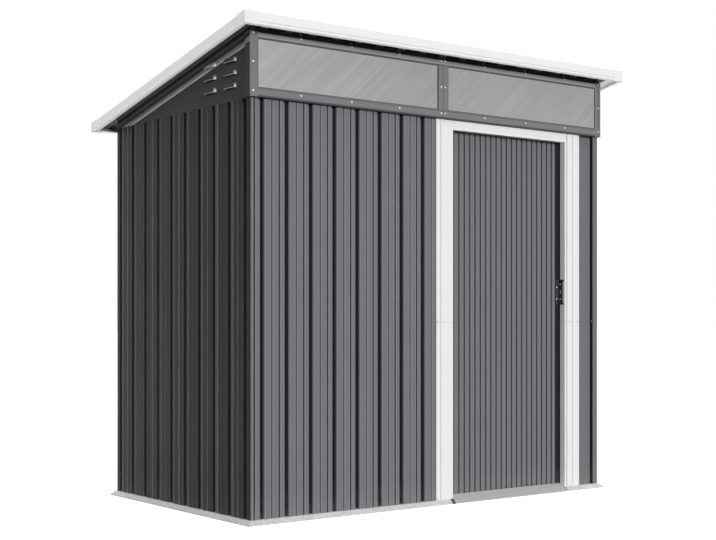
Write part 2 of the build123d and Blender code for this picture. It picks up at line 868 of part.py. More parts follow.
def roof_path(start, end):
    """Rib line of the roof sheets as (x, height): narrow ribs on broad flats."""
    half = ROOF_RIB_TOP / 2
    reach = int((roof_right - roof_left) / 2 // ROOF_RIB_PITCH) + 1
    points = []
    for i in range(-reach, reach + 1):
        middle = i * ROOF_RIB_PITCH
        points.append((middle - half - ROOF_RIB_RUN, 0))
        points.append((middle - half, ROOF_RIB_HEIGHT))
        points.append((middle + half, ROOF_RIB_HEIGHT))
        points.append((middle + half + ROOF_RIB_RUN, 0))
    return clipped(points, start, end)


def roof_sheet(start, end):
    """One roof sheet, from under the front trim to under the rear trim."""
    y_start = roof_front + SHEET_GAUGE
    outline = [(x, roof_z(y_start) + rise) for x, rise in sheet_outline(roof_path(start, end))]
    return along_y(outline, y_start, roof_rear - SHEET_GAUGE, fall=slope)


def trim_path(height):
    """Roof trim as (inward, height over the roof's underside): flange, face, groove and lip."""
    top = trim_rise
    bottom = trim_rise - height
    groove = bottom + TRIM_LIP
    return [
        (TRIM_TOP_FLANGE, top),
        (0, top),
        (0, groove + GROOVE_WIDTH),
        (TRIM_GROOVE, groove + GROOVE_WIDTH / 2),
        (0, groove),
        (0, bottom),
        (TRIM_RETURN, bottom),
    ]


def under_rear_edge(bottom):
    """Block that cuts the low end of a left trim or cap level with the rear trim."""
    outer = roof_left - 2 * CAP_GAUGE
    return block((outer, rear, bottom - TRIM_HEIGHT), (left, roof_rear + 2 * CAP_GAUGE, bottom))


def roof_trim_side():
    """White trim down the left edge of the roof, mitred at both corners, level at its low end."""
    path = [
        (roof_left + inward, roof_z(roof_front) + rise) for inward, rise in trim_path(TRIM_HEIGHT)
    ]
    trim = along_y(folded(path, SHEET_GAUGE), roof_front, roof_rear, fall=slope)
    trim = mitred(
        trim, [(roof_left, roof_front, (-1, 1, 0)), (roof_left, roof_rear, (-1, -1, 0))]
    )
    return trim - under_rear_edge(rear_edge)


def roof_trim_front():
    """White trim along the front edge of the roof."""
    path = [
        (roof_front + inward, roof_z(roof_front + inward) + rise)
        for inward, rise in trim_path(TRIM_HEIGHT)
    ]
    trim = along_x(folded(path, SHEET_GAUGE), roof_left, roof_right)
    return mitred(
        trim, [(roof_left, roof_front, (1, -1, 0)), (roof_right, roof_front, (-1, -1, 0))]
    )


def roof_trim_rear():
    """White trim along the rear edge of the roof."""
    path = [
        (roof_rear - inward, roof_z(roof_rear - inward) + rise)
        for inward, rise in trim_path(REAR_TRIM_HEIGHT)
    ]
    trim = along_x(folded(path[::-1], SHEET_GAUGE), roof_left, roof_right)
    return mitred(
        trim, [(roof_left, roof_rear, (1, 1, 0)), (roof_right, roof_rear, (-1, 1, 0))]
    )


def roof_cap(y_start, y_end, closed_at):
    """Cap over a left corner of the roof trim: top, side and one closed end."""
    level = roof_z(y_start)
    outer = roof_left - CAP_GAUGE
    inner = roof_left + CAP_LENGTH
    top = level + trim_rise
    bottom = top - TRIM_HEIGHT - CAP_GAUGE
    hook = [
        (outer, bottom),
        (outer, top + CAP_GAUGE),
        (inner, top + CAP_GAUGE),
        (inner, top),
        (roof_left, top),
        (roof_left, bottom),
    ]
    shell = along_y(hook, y_start, y_end, fall=slope)
    fall_to_end = slope * (closed_at - y_start)
    end = [
        (outer, bottom - fall_to_end),
        (outer, top + CAP_GAUGE - fall_to_end),
        (inner, top + CAP_GAUGE - fall_to_end),
        (inner, bottom - fall_to_end),
    ]
    cap = shell + along_y(end, closed_at, closed_at + CAP_GAUGE, fall=slope)
    return cap - under_rear_edge(rear_edge - CAP_GAUGE)


def roof_caps():
    """Four caps over the corners of the roof trim."""
    caps = [
        roof_cap(roof_front - CAP_GAUGE, roof_front + CAP_LENGTH, roof_front - CAP_GAUGE),
        roof_cap(roof_rear - CAP_LENGTH, roof_rear + CAP_GAUGE, roof_rear),
    ]
    return Compound(caps + [mirror(cap, about=Plane.YZ) for cap in caps])


def mirrored(shape):
    """Same piece on the other side of the shed."""
    return mirror(shape, about=Plane.YZ)


parts = {
    "base_front_rail": base_front_rail(),
    "base_rear_rail": base_rear_rail(),
    "base_left_rail": base_left_rail(),
    "base_right_rail": mirrored(base_left_rail()),
    "door_ramp": door_ramp(),
    "door_bottom_track": door_bottom_track(),
    "door_top_track": door_top_track(),
    "front_wall": front_wall(),
    "front_wall_narrow": front_wall_narrow(),
    "left_wall": left_wall(),
    "right_wall": mirrored(left_wall()),
    "rear_wall": rear_wall(),
    "corner_posts": corner_posts(),
    "mid_rails": mid_rails(),
    "left_top_rail": side_top_rail_left(),
    "right_top_rail": mirrored(side_top_rail_left()),
    "rear_top_rail": rear_top_rail(),
    "left_gable": gable_left(),
    "right_gable": mirrored(gable_left()),
    "left_gable_rail": gable_rail_left(),
    "right_gable_rail": mirrored(gable_rail_left()),
    "front_roof_beam": roof_beam(front + BEAM_SETBACK, BEAM_HEIGHT),
    "middle_roof_beam": roof_beam((front + rear) / 2, BEAM_HEIGHT),
    "roof_sheet_left": roof_sheet(sheet_start, -sheet_seam),
    "roof_sheet_middle": roof_sheet(-sheet_seam, sheet_seam),
    "roof_sheet_right": roof_sheet(sheet_seam, -sheet_start),
    "roof_trim_left": roof_trim_side(),
    "roof_trim_right": mirrored(roof_trim_side()),
    "roof_trim_front": roof_trim_front(),
    "roof_trim_rear": roof_trim_rear(),
    "roof_corner_caps": roof_caps(),
    "band_bottom_rail": band_bottom_rail(),
    "band_top_rail": band_top_rail(),
    "band_left_post": band_post_left(),
    "band_right_post": mirrored(band_post_left()),
    "band_mullion": band_mullion(),
    "window_pane_left": window_pane_left(),
    "window_pane_right": mirrored(window_pane_left()),
    "jamb_left": jamb_left(),
    "jamb_right": jamb_right(),
    "door_header": door_header(),
    "door_leaf": door_leaf(),
    "door_leading_stile": door_leading_stile(),
    "door_trailing_stile": door_trailing_stile(),
    "door_rails": door_rails(),
    "door_glides": door_glides(),
    "door_handle": door_handle(),
}

os.makedirs("parts", exist_ok=True)
for name, shape in parts.items():
    export_step(shape, f"parts/{name}.step")
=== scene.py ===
# %% [markdown]
# A small lean-to shed of ribbed sheet steel, dressed for a studio picture. Its pieces come from a
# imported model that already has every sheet, rail and jamb at its real size, so this lesson never
# moves them. It gives each one a finish, adds the screws and other small hardware, and sets up
# the light and the camera.

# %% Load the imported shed
import json
from math import cos, pi, radians, sin, tan

import bmesh
import bpy
from mathutils import Matrix, Vector


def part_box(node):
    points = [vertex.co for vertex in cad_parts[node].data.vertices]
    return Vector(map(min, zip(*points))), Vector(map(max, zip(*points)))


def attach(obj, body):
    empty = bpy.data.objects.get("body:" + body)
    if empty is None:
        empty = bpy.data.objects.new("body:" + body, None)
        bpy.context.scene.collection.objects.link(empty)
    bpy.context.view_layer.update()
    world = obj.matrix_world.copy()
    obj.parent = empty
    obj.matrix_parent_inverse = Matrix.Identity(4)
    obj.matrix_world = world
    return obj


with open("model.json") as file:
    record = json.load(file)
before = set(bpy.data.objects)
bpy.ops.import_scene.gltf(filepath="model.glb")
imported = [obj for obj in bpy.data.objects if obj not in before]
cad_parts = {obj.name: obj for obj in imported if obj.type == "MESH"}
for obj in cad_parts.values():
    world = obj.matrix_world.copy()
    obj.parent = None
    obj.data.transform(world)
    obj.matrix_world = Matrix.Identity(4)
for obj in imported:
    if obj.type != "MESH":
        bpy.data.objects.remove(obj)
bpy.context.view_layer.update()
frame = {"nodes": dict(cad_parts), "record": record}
nodes = frame["nodes"]
scene = bpy.context.scene

# %% [markdown]
# Edges of the model that the later cells measure from. Each value is read from the box of a
# piece, so the hardware stays on its rail if the shed is ever built in another size.

# %% Reference edges
MM = 0.001


def box_of(node):
    """Lowest and highest corner of a piece of the shed."""
    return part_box(node)


wall_left = box_of("left_wall")[0].x
wall_right = box_of("right_wall")[1].x
wall_front = box_of("front_wall")[0].y
wall_rear = box_of("rear_wall")[1].y
wall_foot = box_of("front_wall")[0].z
wall_top = box_of("front_wall")[1].z
band_face = box_of("band_bottom_rail")[0].y
band_low = box_of("band_bottom_rail")[0].z
band_top = box_of("band_top_rail")[1].z
jamb_face = box_of("jamb_left")[0].y
door_low, door_high = box_of("door_ramp")[0].x, box_of("door_ramp")[1].x
gable_front = box_of("left_gable")[0].y
gable_top = box_of("left_gable")[1].z
ROOF_PITCH = radians(12)
ROOF_FALL = tan(ROOF_PITCH)


def roof_line(y):
    """Height of the underside of the roof sheets."""
    return gable_top - ROOF_FALL * (y - gable_front)


print("wall runs from", round(wall_left, 4), "to", round(wall_right, 4))
print("roof line in front and rear:", [round(roof_line(y), 4) for y in (wall_front, wall_rear)])

# %% [markdown]
# The camera stands level with the lower third of the shed, so its upright edges stay parallel.
# A level camera would leave the roof near the top of the picture, and a small vertical shift
# of the lens brings it down without tilting the camera, as a photographer does with a building.

# %% Camera
CAMERA_FROM_CORNER = Vector((-2.53, -3.978, 0.737))
CAMERA_TURN = radians(-37.07)
CAMERA_LENS = 66.85
CAMERA_SHIFT = 0.0661


def placed(name, data):
    """New object in the scene."""
    made = bpy.data.objects.new(name, data)
    scene.collection.objects.link(made)
    return made


camera_data = bpy.data.cameras.new("studio_camera")
camera_data.lens = CAMERA_LENS
camera_data.shift_y = CAMERA_SHIFT
camera = placed("studio_camera", camera_data)
camera.location = Vector((wall_left, wall_front, 0)) + CAMERA_FROM_CORNER
camera.rotation_euler = (radians(90), 0, CAMERA_TURN)
scene.camera = camera
scene.view_settings.view_transform = "Standard"

# %% [markdown]
# A shader tree is easier to read when one short function adds a node, sets it up and joins its
# inputs. Inputs are given by name or, for the maths nodes, by number. Sums and products have
# short functions of their own, because nearly every mask and tone is made of them.

# %% Node helper


def feed(tree, node, inputs):
    """Links inputs of a node to sockets, or sets them to values."""
    for name, value in inputs.items():
        if isinstance(value, bpy.types.NodeSocket):
            tree.links.new(value, node.inputs[name])
        else:
            node.inputs[name].default_value = value


def add_node(tree, kind, inputs=None, **settings):
    """Adds a shader node, applies its settings, and sets or links its inputs."""
    node = tree.nodes.new("ShaderNode" + kind)
    for name, value in settings.items():
        setattr(node, name, value)
    feed(tree, node, inputs or {})
    return node


def math_node(tree, operation, first, second=0.0, clamp=False):
    """Result of one maths operation on two values."""
    inputs = {0: first, 1: second}
    node = add_node(tree, "Math", inputs, operation=operation, use_clamp=clamp)
    return node.outputs[0]


def plus(tree, first, second, clamp=False):
    """Sum of two values."""
    return math_node(tree, "ADD", first, second, clamp)


def times(tree, first, second):
    """Product of two values."""
    return math_node(tree, "MULTIPLY", first, second)


# %% [markdown]
# The studio is a white room. The world is white for the camera and for reflections, and much
# dimmer for the soft light that it gives, so that the shed's dark sides stay dark. Suns with
# wide discs stand for soft boxes: the key light nearly in front, a fill from above, and two
# weak ones that model the right side and the rear. The last three boxes are flagged: one falls
# on the white roof trim alone, from low down, one on the return of the right door jamb, and one
# on the underside of the roof sheets. In Blender that is light linking: the lamp lights only one
# collection of pieces, and only those pieces cast its shadows.

# %% Studio light
ROOM_LIGHT = 0.07
# Azimuth and elevation in degrees, strength, and the width of the disc in degrees.
SOFT_BOXES = {
    "key_light": (-2, 14, 0.80, 20),
    "top_light": (0, 72, 0.34, 40),
    "side_light": (100, 20, 0.25, 60),
    "rear_light": (160, 20, 0.30, 60),
    "trim_light": (-93, -38, 0.80, 40),
    "jamb_light": (-100, 15, 0.18, 30),
    "eave_light": (-60, -20, 0.05, 30),
}
ROOF_SHEETS = ["roof_sheet_left", "roof_sheet_middle", "roof_sheet_right"]
ROOF_TRIMS = [node for node in nodes if node.startswith("roof_trim")]
FLAGGED = {
    "trim_light": ROOF_TRIMS + ["roof_corner_caps"],
    "jamb_light": ["jamb_right"],
    "eave_light": ROOF_SHEETS,
}


def seen_or_lit(tree, lit, seen):
    """One shader for the light that spreads, and one for the camera, reflections and glass."""
    rays = add_node(tree, "LightPath").outputs
    looking = math_node(tree, "MAXIMUM", rays["Is Camera Ray"], rays["Is Glossy Ray"])
    looking = math_node(tree, "MAXIMUM", looking, rays["Is Transmission Ray"])
    inputs = {0: looking, 1: lit.outputs[0], 2: seen.outputs[0]}
    return add_node(tree, "MixShader", inputs).outputs[0]


def soft_box(name, azimuth, elevation, strength, disc):
    """Sun lamp that shines from a direction round the shed, with a wide soft disc."""
    lamp = bpy.data.lights.new(name, "SUN")
    lamp.energy = strength * pi
    lamp.angle = radians(disc)
    holder = placed(name, lamp)
    turn, rise = radians(azimuth), radians(elevation)
    towards = Vector((sin(turn) * cos(rise), -cos(turn) * cos(rise), sin(rise)))
    holder.rotation_euler = towards.to_track_quat("Z", "Y").to_euler()
    print(name, "from", [round(part, 2) for part in towards])
    return holder


scene.world = bpy.data.worlds.new("white_room")
scene.world.use_nodes = True
sky = scene.world.node_tree
sky.nodes.clear()
light = add_node(sky, "Background", {"Color": (1, 1, 1, 1), "Strength": ROOM_LIGHT})
shown = add_node(sky, "Background", {"Color": (1, 1, 1, 1), "Strength": 1.0})
add_node(sky, "OutputWorld", {"Surface": seen_or_lit(sky, light, shown)})
lamps = {name: soft_box(name, *setting) for name, setting in SOFT_BOXES.items()}
for name, lit_nodes in FLAGGED.items():
    flagged = bpy.data.collections.new(name + "_pieces")
    for node in lit_nodes:
        flagged.objects.link(nodes[node])
    lamps[name].light_linking.receiver_collection = flagged
    lamps[name].light_linking.blocker_collection = flagged

# %% [markdown]
# The floor is one large plane. Rays that carry light see a pale grey floor, which keeps the
# bounce on the walls low, and the camera sees the same floor brightened to white, with the
# shed's soft shadow still in it.

# %% Floor
FLOOR_REACH = 60.0
FLOOR_BOUNCE = (0.18, 0.18, 0.18, 1)
FLOOR_SEEN = (0.8, 0.8, 0.8, 1)
FLOOR_GLOW = 0.80


def new_material(name):
    """Material with a Principled shader: the material, its tree and the shader."""
    material = bpy.data.materials.new(name)
    material.use_nodes = True
    tree = material.node_tree
    return material, tree, tree.nodes["Principled BSDF"]


floor_white, tree = new_material("studio_floor")[:2]
tree.nodes.clear()
bounce = add_node(tree, "BsdfDiffuse", {"Color": FLOOR_BOUNCE})
pale = add_node(tree, "BsdfDiffuse", {"Color": FLOOR_SEEN})
glow = add_node(tree, "Emission", {"Color": (1, 1, 1, 1), "Strength": FLOOR_GLOW})
shown = add_node(tree, "AddShader", {0: pale.outputs[0], 1: glow.outputs[0]})
add_node(tree, "OutputMaterial", {"Surface": seen_or_lit(tree, bounce, shown)})

floor_mesh = bpy.data.meshes.new("studio_floor")
build = bmesh.new()
bmesh.ops.create_grid(build, x_segments=1, y_segments=1, size=FLOOR_REACH)
build.to_mesh(floor_mesh)
build.free()
floor_mesh.materials.append(floor_white)
floor = placed("studio_floor", floor_mesh)

# %% [markdown]
# Effects that several finishes share are node groups, built once, with named inputs and
# outputs. The other helpers are the steps that every group and finish is made of: a place, a
# direction, a noise, a change of range and a change of tone.

# %% Group helper
COLOUR, NUMBER, DIRECTION = "NodeSocketColor", "NodeSocketFloat", "NodeSocketVector"


def new_group(name, inputs, outputs):
    """Shader group with named sockets: the tree, its inputs and its output node."""
    group = bpy.data.node_groups.new(name, "ShaderNodeTree")
    for label, kind, value in inputs:
        socket = group.interface.new_socket(name=label, in_out="INPUT", socket_type=kind)
        socket.default_value = value
    for label, kind in outputs:
        group.interface.new_socket(name=label, in_out="OUTPUT", socket_type=kind)
    given = group.nodes.new("NodeGroupInput").outputs
    return group, given, group.nodes.new("NodeGroupOutput")


def own_place(tree):
    """Position on the piece, in metres."""
    return add_node(tree, "TexCoord").outputs["Object"]


def scaled_place(tree, scale):
    """Position on the piece, stretched by a scale along X, Y and Z."""
    inputs = {"Vector": own_place(tree), "Scale": scale}
    return add_node(tree, "Mapping", inputs).outputs["Vector"]


def parts_of(tree, vector):
    """X, Y and Z of a place or a direction."""
    return add_node(tree, "SeparateXYZ", {0: vector}).outputs


def face_parts(tree):
    """X, Y and Z of the direction in which a face looks."""
    return parts_of(tree, add_node(tree, "NewGeometry").outputs["True Normal"])


def noise(tree, scale, detail, roughness=0.5, place=None):
    """Soft noise between zero and one, read at a point's own place or at a given one."""
    place = own_place(tree) if place is None else place
    inputs = {"Vector": place, "Scale": scale, "Detail": detail, "Roughness": roughness}
    return add_node(tree, "TexNoise", inputs).outputs["Fac"]


def remapped(tree, value, low, high, to_low=0.0, to_high=1.0):
    """Value moved from one range to another and kept inside it."""
    inputs = {"Value": value, "From Min": low, "From Max": high, "To Min": to_low, "To Max": to_high}
    return add_node(tree, "MapRange", inputs).outputs["Result"]


def shaded(tree, colour, factor):
    """Colour made lighter or darker by a factor."""
    plain = colour[:3] if isinstance(colour, tuple) else colour
    inputs = {0: plain, "Scale": factor}
    return add_node(tree, "VectorMath", inputs, operation="SCALE").outputs[0]


# %% [markdown]
# Baked enamel on coil-coated steel is never one flat colour. It has a faint cloudy tone from
# sheet to sheet, long marks from the rollers that pressed the ribs, and a fine orange-peel
# surface. Three noises at three scales give these, and the group hands out a colour, a
# roughness and a height, so each material decides how glossy and how deep it is.

# %% Enamel group
ENAMEL, given, result = new_group(
    "enamel",
    [
        ("Color", COLOUR, (0.5, 0.5, 0.5, 1)),
        ("Cloud", NUMBER, 0.06),
        ("Roller Marks", NUMBER, 0.04),
        ("Roughness", NUMBER, 0.4),
    ],
    [("Color", COLOUR), ("Roughness", NUMBER), ("Height", NUMBER)],
)
cloud = noise(ENAMEL, 2.2, 4.0, 0.55)
marks = noise(ENAMEL, 1.0, 3.0, 0.6, scaled_place(ENAMEL, (60, 60, 0.7)))
shares = [
    times(ENAMEL, math_node(ENAMEL, "SUBTRACT", value, 0.5), given[amount])
    for value, amount in ((cloud, "Cloud"), (marks, "Roller Marks"))
]
tone = plus(ENAMEL, plus(ENAMEL, *shares), 1.0)
rough = times(ENAMEL, given["Roughness"], remapped(ENAMEL, cloud, 0.3, 0.7, 0.92, 1.1))
feed(ENAMEL, result, {
    "Color": shaded(ENAMEL, given["Color"], tone),
    "Roughness": rough,
    "Height": noise(ENAMEL, 900.0, 1.0),
})

# %% [markdown]
# Pressed and folded sheet has bends with a small radius, and the thin coating wears a little
# there. The Bevel node looks up the surface a millimetre around each point. Its normal rounds
# the bend for the light, and the angle between it and the true normal is a mask of the edge.

# %% Bend group
BEND, given, result = new_group(
    "folded_bend",
    [("Radius", NUMBER, 1.2 * MM)],
    [("Normal", DIRECTION), ("Edge", NUMBER)],
)
bevel = add_node(BEND, "Bevel", {"Radius": given["Radius"]}, samples=4)
bent = bevel.outputs["Normal"]
flat = add_node(BEND, "NewGeometry").outputs["Normal"]
same = add_node(BEND, "VectorMath", {0: bent, 1: flat}, operation="DOT_PRODUCT")
edge = remapped(BEND, same.outputs["Value"], 0.985, 0.80)
feed(BEND, result, {"Normal": bent, "Edge": edge})

# %% [markdown]
# A shed that stands outside gathers a little dust where water dries: on faces that look up and
# near the ground. The group puts out that mask, broken up by noise.

# %% Dust group
DUST, given, result = new_group(
    "settled_dust",
    [("Amount", NUMBER, 0.3), ("Splash Height", NUMBER, 0.15)],
    [("Mask", NUMBER)],
)
normal = add_node(DUST, "NewGeometry").outputs["Normal"]
ledge = remapped(DUST, parts_of(DUST, normal)["Z"], 0.35, 0.95)
height = parts_of(DUST, own_place(DUST))["Z"]
above_ground = math_node(DUST, "DIVIDE", height, given["Splash Height"])
near_ground = math_node(DUST, "SUBTRACT", 1.0, above_ground, clamp=True)
patches = remapped(DUST, noise(DUST, 34.0, 5.0, 0.65), 0.42, 0.72)
both = plus(DUST, ledge, times(DUST, near_ground, 0.6), clamp=True)
dusty = times(DUST, both, plus(DUST, patches, 0.25))
feed(DUST, result, {"Mask": times(DUST, dusty, given["Amount"])})

# %% [markdown]
# The steep flanks of the ribs and their creases are darkened with painted shade, standing for the
# shade that falls there. A face is a flank when its normal points part along the wall and part out
# of it, so the product of the X and Y parts of the normal finds it without any map. The sign of the
# product says to which side the flank looks.

# %% Flank shade group
FLANK_SHADE_GROUP, given, result = new_group(
    "painted_flank_shade",
    [("Start", NUMBER, 0.12), ("End", NUMBER, 0.20)],
    [("Left Flank", NUMBER), ("Right Flank", NUMBER)],
)
parts = face_parts(FLANK_SHADE_GROUP)
product = times(FLANK_SHADE_GROUP, parts["X"], parts["Y"])
for label, sign in (("Left Flank", 1.0), ("Right Flank", -1.0)):
    mask = remapped(FLANK_SHADE_GROUP, times(FLANK_SHADE_GROUP, product, sign), given["Start"], given["End"])
    feed(FLANK_SHADE_GROUP, result, {label: mask})
print("shared groups:", ENAMEL.name, BEND.name, DUST.name, FLANK_SHADE_GROUP.name)

# %% [markdown]
# Every coated sheet and rail is the same recipe with other values: enamel for the colour and
# the fine relief, rounded bends, a little bare metal on the edges and a little dust. One
# function builds it. Values that are the same all over are set on the shader itself.

# %% Coated steel
DUST_COLOUR = (0.42, 0.41, 0.39, 1)
WORN_COLOUR = (0.55, 0.56, 0.58, 1)
HIGHLIGHT_METAL_COLOUR = (0.66, 0.66, 0.67, 1)
COAT_GLOSS = 0.06


def fill_group(tree, group, inputs=None):
    """Outputs of a group node whose inputs are set or linked."""
    return add_node(tree, "Group", inputs, node_tree=group).outputs


def mixed(tree, factor, first, second):
    """Blend of two colours by a mask. Inputs 6 and 7 and output 2 of the node are colours."""
    inputs = {0: factor, 6: first, 7: second}
    return add_node(tree, "Mix", inputs, data_type="RGBA").outputs[2]


def bumped(tree, height, normal, strength, distance):
    """Normal with a fine relief on it."""
    inputs = {"Height": height, "Normal": normal, "Strength": strength, "Distance": distance}
    return add_node(tree, "Bump", inputs).outputs["Normal"]


def coated_steel(
    name, colour, roughness=0.42, wear=0.10, dust=0.2, cloud=0.06, paint=None, shine=None
):
    """Coated sheet steel with folded bends, slight wear and slight dust."""
    material, tree, shader = new_material(name)
    tint = paint(tree, colour) if paint else colour
    looks = {"Color": tint, "Cloud": cloud, "Roller Marks": cloud, "Roughness": roughness}
    enamel = fill_group(tree, ENAMEL, looks)
    bend = fill_group(tree, BEND)
    dirt = fill_group(tree, DUST, {"Amount": dust, "Splash Height": 0.12})
    base = mixed(tree, times(tree, bend["Edge"], wear), enamel["Color"], WORN_COLOUR)
    base = mixed(tree, dirt["Mask"], base, DUST_COLOUR)
    # Where a shine mask is given, pale metal is laid on as a painted highlight.
    if shine:
        bright = shine(tree, bend["Normal"])
        base = mixed(tree, bright, base, HIGHLIGHT_METAL_COLOUR)
        feed(tree, shader, {"Metallic": bright})
    feed(tree, shader, {
        "Base Color": base,
        "Roughness": enamel["Roughness"],
        "Normal": bumped(tree, enamel["Height"], bend["Normal"], 0.12, 0.1 * MM),
        "Specular IOR Level": COAT_GLOSS,
    })
    return material


ANTHRACITE = (0.178, 0.181, 0.192, 1)
# The front roof beam sits in shade under the eaves; its darker coat is painted shade.
SHADED_BEAM_COLOUR = (0.085, 0.086, 0.090, 1)
STILE_COLOUR = (0.018, 0.018, 0.020, 1)
anthracite = coated_steel("anthracite_enamel", ANTHRACITE)
beam_painted_shade = coated_steel("beam_painted_shade", SHADED_BEAM_COLOUR)
black_enamel = coated_steel("black_enamel", STILE_COLOUR, roughness=0.35, wear=0.05)

# %% [markdown]
# Painted shade lies in the valleys between the ribs and in the two creases of each rib, and painted
# highlights lie along the edges of the ribs. Two coordinates are enough to place all of this: how
# deep a point lies behind the face of its wall, and how far along the rib pattern it is.
# The second one is a saw-tooth, the remainder of a division by the pitch of the ribs.

# %% Rib coordinates
RIB_PITCH = 106.5


def place_parts(tree):
    """X, Y and Z of a point of the shed, in metres."""
    return parts_of(tree, own_place(tree))


def measured(tree, axis, start, direction=1):
    """Millimetres from a starting place along one axis."""
    moved = math_node(tree, "SUBTRACT", place_parts(tree)[axis], start)
    return times(tree, moved, direction / MM)


def along_rib(tree, axis, start, direction=1):
    """Millimetres from the near edge of the rib that a point lies on."""
    turns = math_node(tree, "DIVIDE", measured(tree, axis, start, direction), RIB_PITCH)
    return times(tree, math_node(tree, "FRACT", turns), RIB_PITCH)


def window(tree, value, low, high, soft):
    """One between two limits, with soft ends."""
    rise = remapped(tree, value, low - soft, low + soft)
    return times(tree, rise, remapped(tree, value, high - soft, high + soft, 1.0, 0.0))


def toned(tree, tone, mask, change):
    """Tone raised or lowered by a share where a mask is one."""
    return times(tree, tone, plus(tree, times(tree, mask, change), 1.0))


# %% [markdown]
# The front and the rear sheet take painted shade as a dark line in the valley and as dark lines at
# the creases and at the edge of each rib, painted highlights as paler lines beside them and as a
# pale rim where the sheet climbs out of the valley to the next rib, and a painted shadow just under
# the window band. Each line is given by where it starts and ends along the rib and by its change of
# tone.

# %% Painted ribs
FRONT_FIRST_RIB = 59.8 * MM
VALLEY_LINE = (94.0, 104.3)
VALLEY_DEPTH = (5.0, 9.0)
VALLEY_SHADE = -0.96
SHADE_LINES = ((26.5, 31.8, -0.70), (58.2, 64.8, -0.92), (79.0, 82.5, -0.60))
HIGHLIGHT_LINES = (
    (0.0, 4.0, 0.24),
    (22.0, 26.0, 0.20),
    (32.8, 37.5, 0.34),
    (53.5, 57.6, 0.26),
    (65.6, 70.2, 0.30),
    (84.5, 91.5, 0.16),
)
RIM_LINE = (102.0, 108.0)
RIM_DEPTH = (7.0, 4.0)
RIM_HIGHLIGHT = 1.2
RAIL_SHADE = (-6.0, -2.0)
RAIL_SHADE_DARK = -0.65
STRIP_FLANK_SHADE = (0.93, 0.12)


def ribbed(face, inwards, start):
    """Paint of a wall sheet that runs along X: painted shade, painted highlights and a painted
    shadow under the window band.
    """

    def paint(tree, colour):
        along = along_rib(tree, "X", start, inwards)
        depth = measured(tree, "Y", face, inwards)
        # Painted shade: a dark line down the valley.
        low = remapped(tree, depth, *VALLEY_DEPTH)
        valley = times(tree, window(tree, along, *VALLEY_LINE, 1.2), low)
        tone = toned(tree, 1.0, valley, VALLEY_SHADE)
        # Painted shade at the creases and the rib edges, painted highlights beside them.
        for low_end, high_end, change in SHADE_LINES + HIGHLIGHT_LINES:
            tone = toned(tree, tone, window(tree, along, low_end, high_end, 0.6), change)
        # Painted highlight: the pale rim where the sheet climbs to the next rib.
        high = remapped(tree, depth, *RIM_DEPTH)
        rim = times(tree, window(tree, along, *RIM_LINE, 0.5), high)
        tone = toned(tree, tone, rim, RIM_HIGHLIGHT)
        # Painted shadow just under the window band.
        under_rail = remapped(tree, measured(tree, "Z", wall_top), *RAIL_SHADE)
        return shaded(tree, colour, toned(tree, tone, under_rail, RAIL_SHADE_DARK))

    return paint


def corner_strip(tree, colour):
    """Paint of the plain strip: painted shade, near black, on the flank of its one rib."""
    flank = fill_group(tree, FLANK_SHADE_GROUP)["Left Flank"]
    return shaded(tree, colour, remapped(tree, flank, 0.0, 1.0, *STRIP_FLANK_SHADE))


RIB_FACE = (0.172, 0.175, 0.186, 1)
front_paint = ribbed(wall_front, 1, wall_left + FRONT_FIRST_RIB)
rear_paint = ribbed(wall_rear, -1, wall_right - FRONT_FIRST_RIB)
front_sheet = coated_steel("front_sheet_enamel", RIB_FACE, paint=front_paint)
rear_sheet = coated_steel("rear_sheet_enamel", ANTHRACITE, paint=rear_paint)
narrow_sheet = coated_steel("narrow_sheet_enamel", ANTHRACITE, paint=corner_strip)

# %% [markdown]
# The side walls are seen along their length, and there the rear edge of every rib and both of its
# creases catch the bright room in a fine pale line, stronger on some ribs than on others. The lines
# are painted highlights, and a noise along the wall varies them. The side sheets take a darker copy
# of the grey as painted shade. The ribs shade the valleys by themselves, so the valleys are painted
# lighter, and the rear of the wall is painted lighter as painted light.

# %% Side walls
SIDE_FIRST_RIB = 54.8 * MM
CREASES = (31.2, 64.0)
CREASE_REACH = 3.2
REAR_EDGE = (73.0, 80.5)
# The side sheets take a darker copy of the grey as painted shade.
SHADED_SIDE_COLOUR = (0.106, 0.107, 0.112, 1)
SIDE_HIGHLIGHT_COLOUR = (0.58, 0.58, 0.59, 1)
VALLEY_TONES = (1.0, 1.25)
WALL_RUN = (300.0, 1000.0)
WALL_TONES = (0.95, 1.25)
CORNER_RETURN = (47.0, 53.0)


def side_ribs(face, inwards):
    """Paint of a side wall: painted highlights on the rear edges and the creases of its ribs, and
    painted light in its valleys and towards its rear.
    """

    def paint(tree, colour):
        depth = measured(tree, "X", face, inwards)
        along = along_rib(tree, "Y", wall_front + SIDE_FIRST_RIB)
        back = measured(tree, "Y", wall_front)
        # Painted light: the valleys and the rear of the wall are lighter.
        valleys = remapped(tree, depth, 1.0, 10.0, *VALLEY_TONES)
        shade = times(tree, valleys, remapped(tree, back, *WALL_RUN, *WALL_TONES))
        # Painted highlights along the rear edges and the creases of the ribs.
        on_face = remapped(tree, depth, 3.0, 1.5)
        lines = times(tree, window(tree, along, *REAR_EDGE, 0.8), on_face)
        for crease in CREASES:
            line = window(tree, along, crease - CREASE_REACH, crease + CREASE_REACH, 0.8)
            lines = math_node(tree, "MAXIMUM", lines, line)
        row = add_node(tree, "CombineXYZ", {"Y": place_parts(tree)["Y"]}).outputs[0]
        highlight_strength = remapped(tree, noise(tree, 23.0, 1.0, place=row), 0.38, 0.60, 0.15, 1.0)
        past_corner = remapped(tree, back, *CORNER_RETURN)
        lines = times(tree, times(tree, lines, highlight_strength), past_corner)
        return mixed(tree, lines, shaded(tree, colour, shade), SIDE_HIGHLIGHT_COLOUR)

    return paint


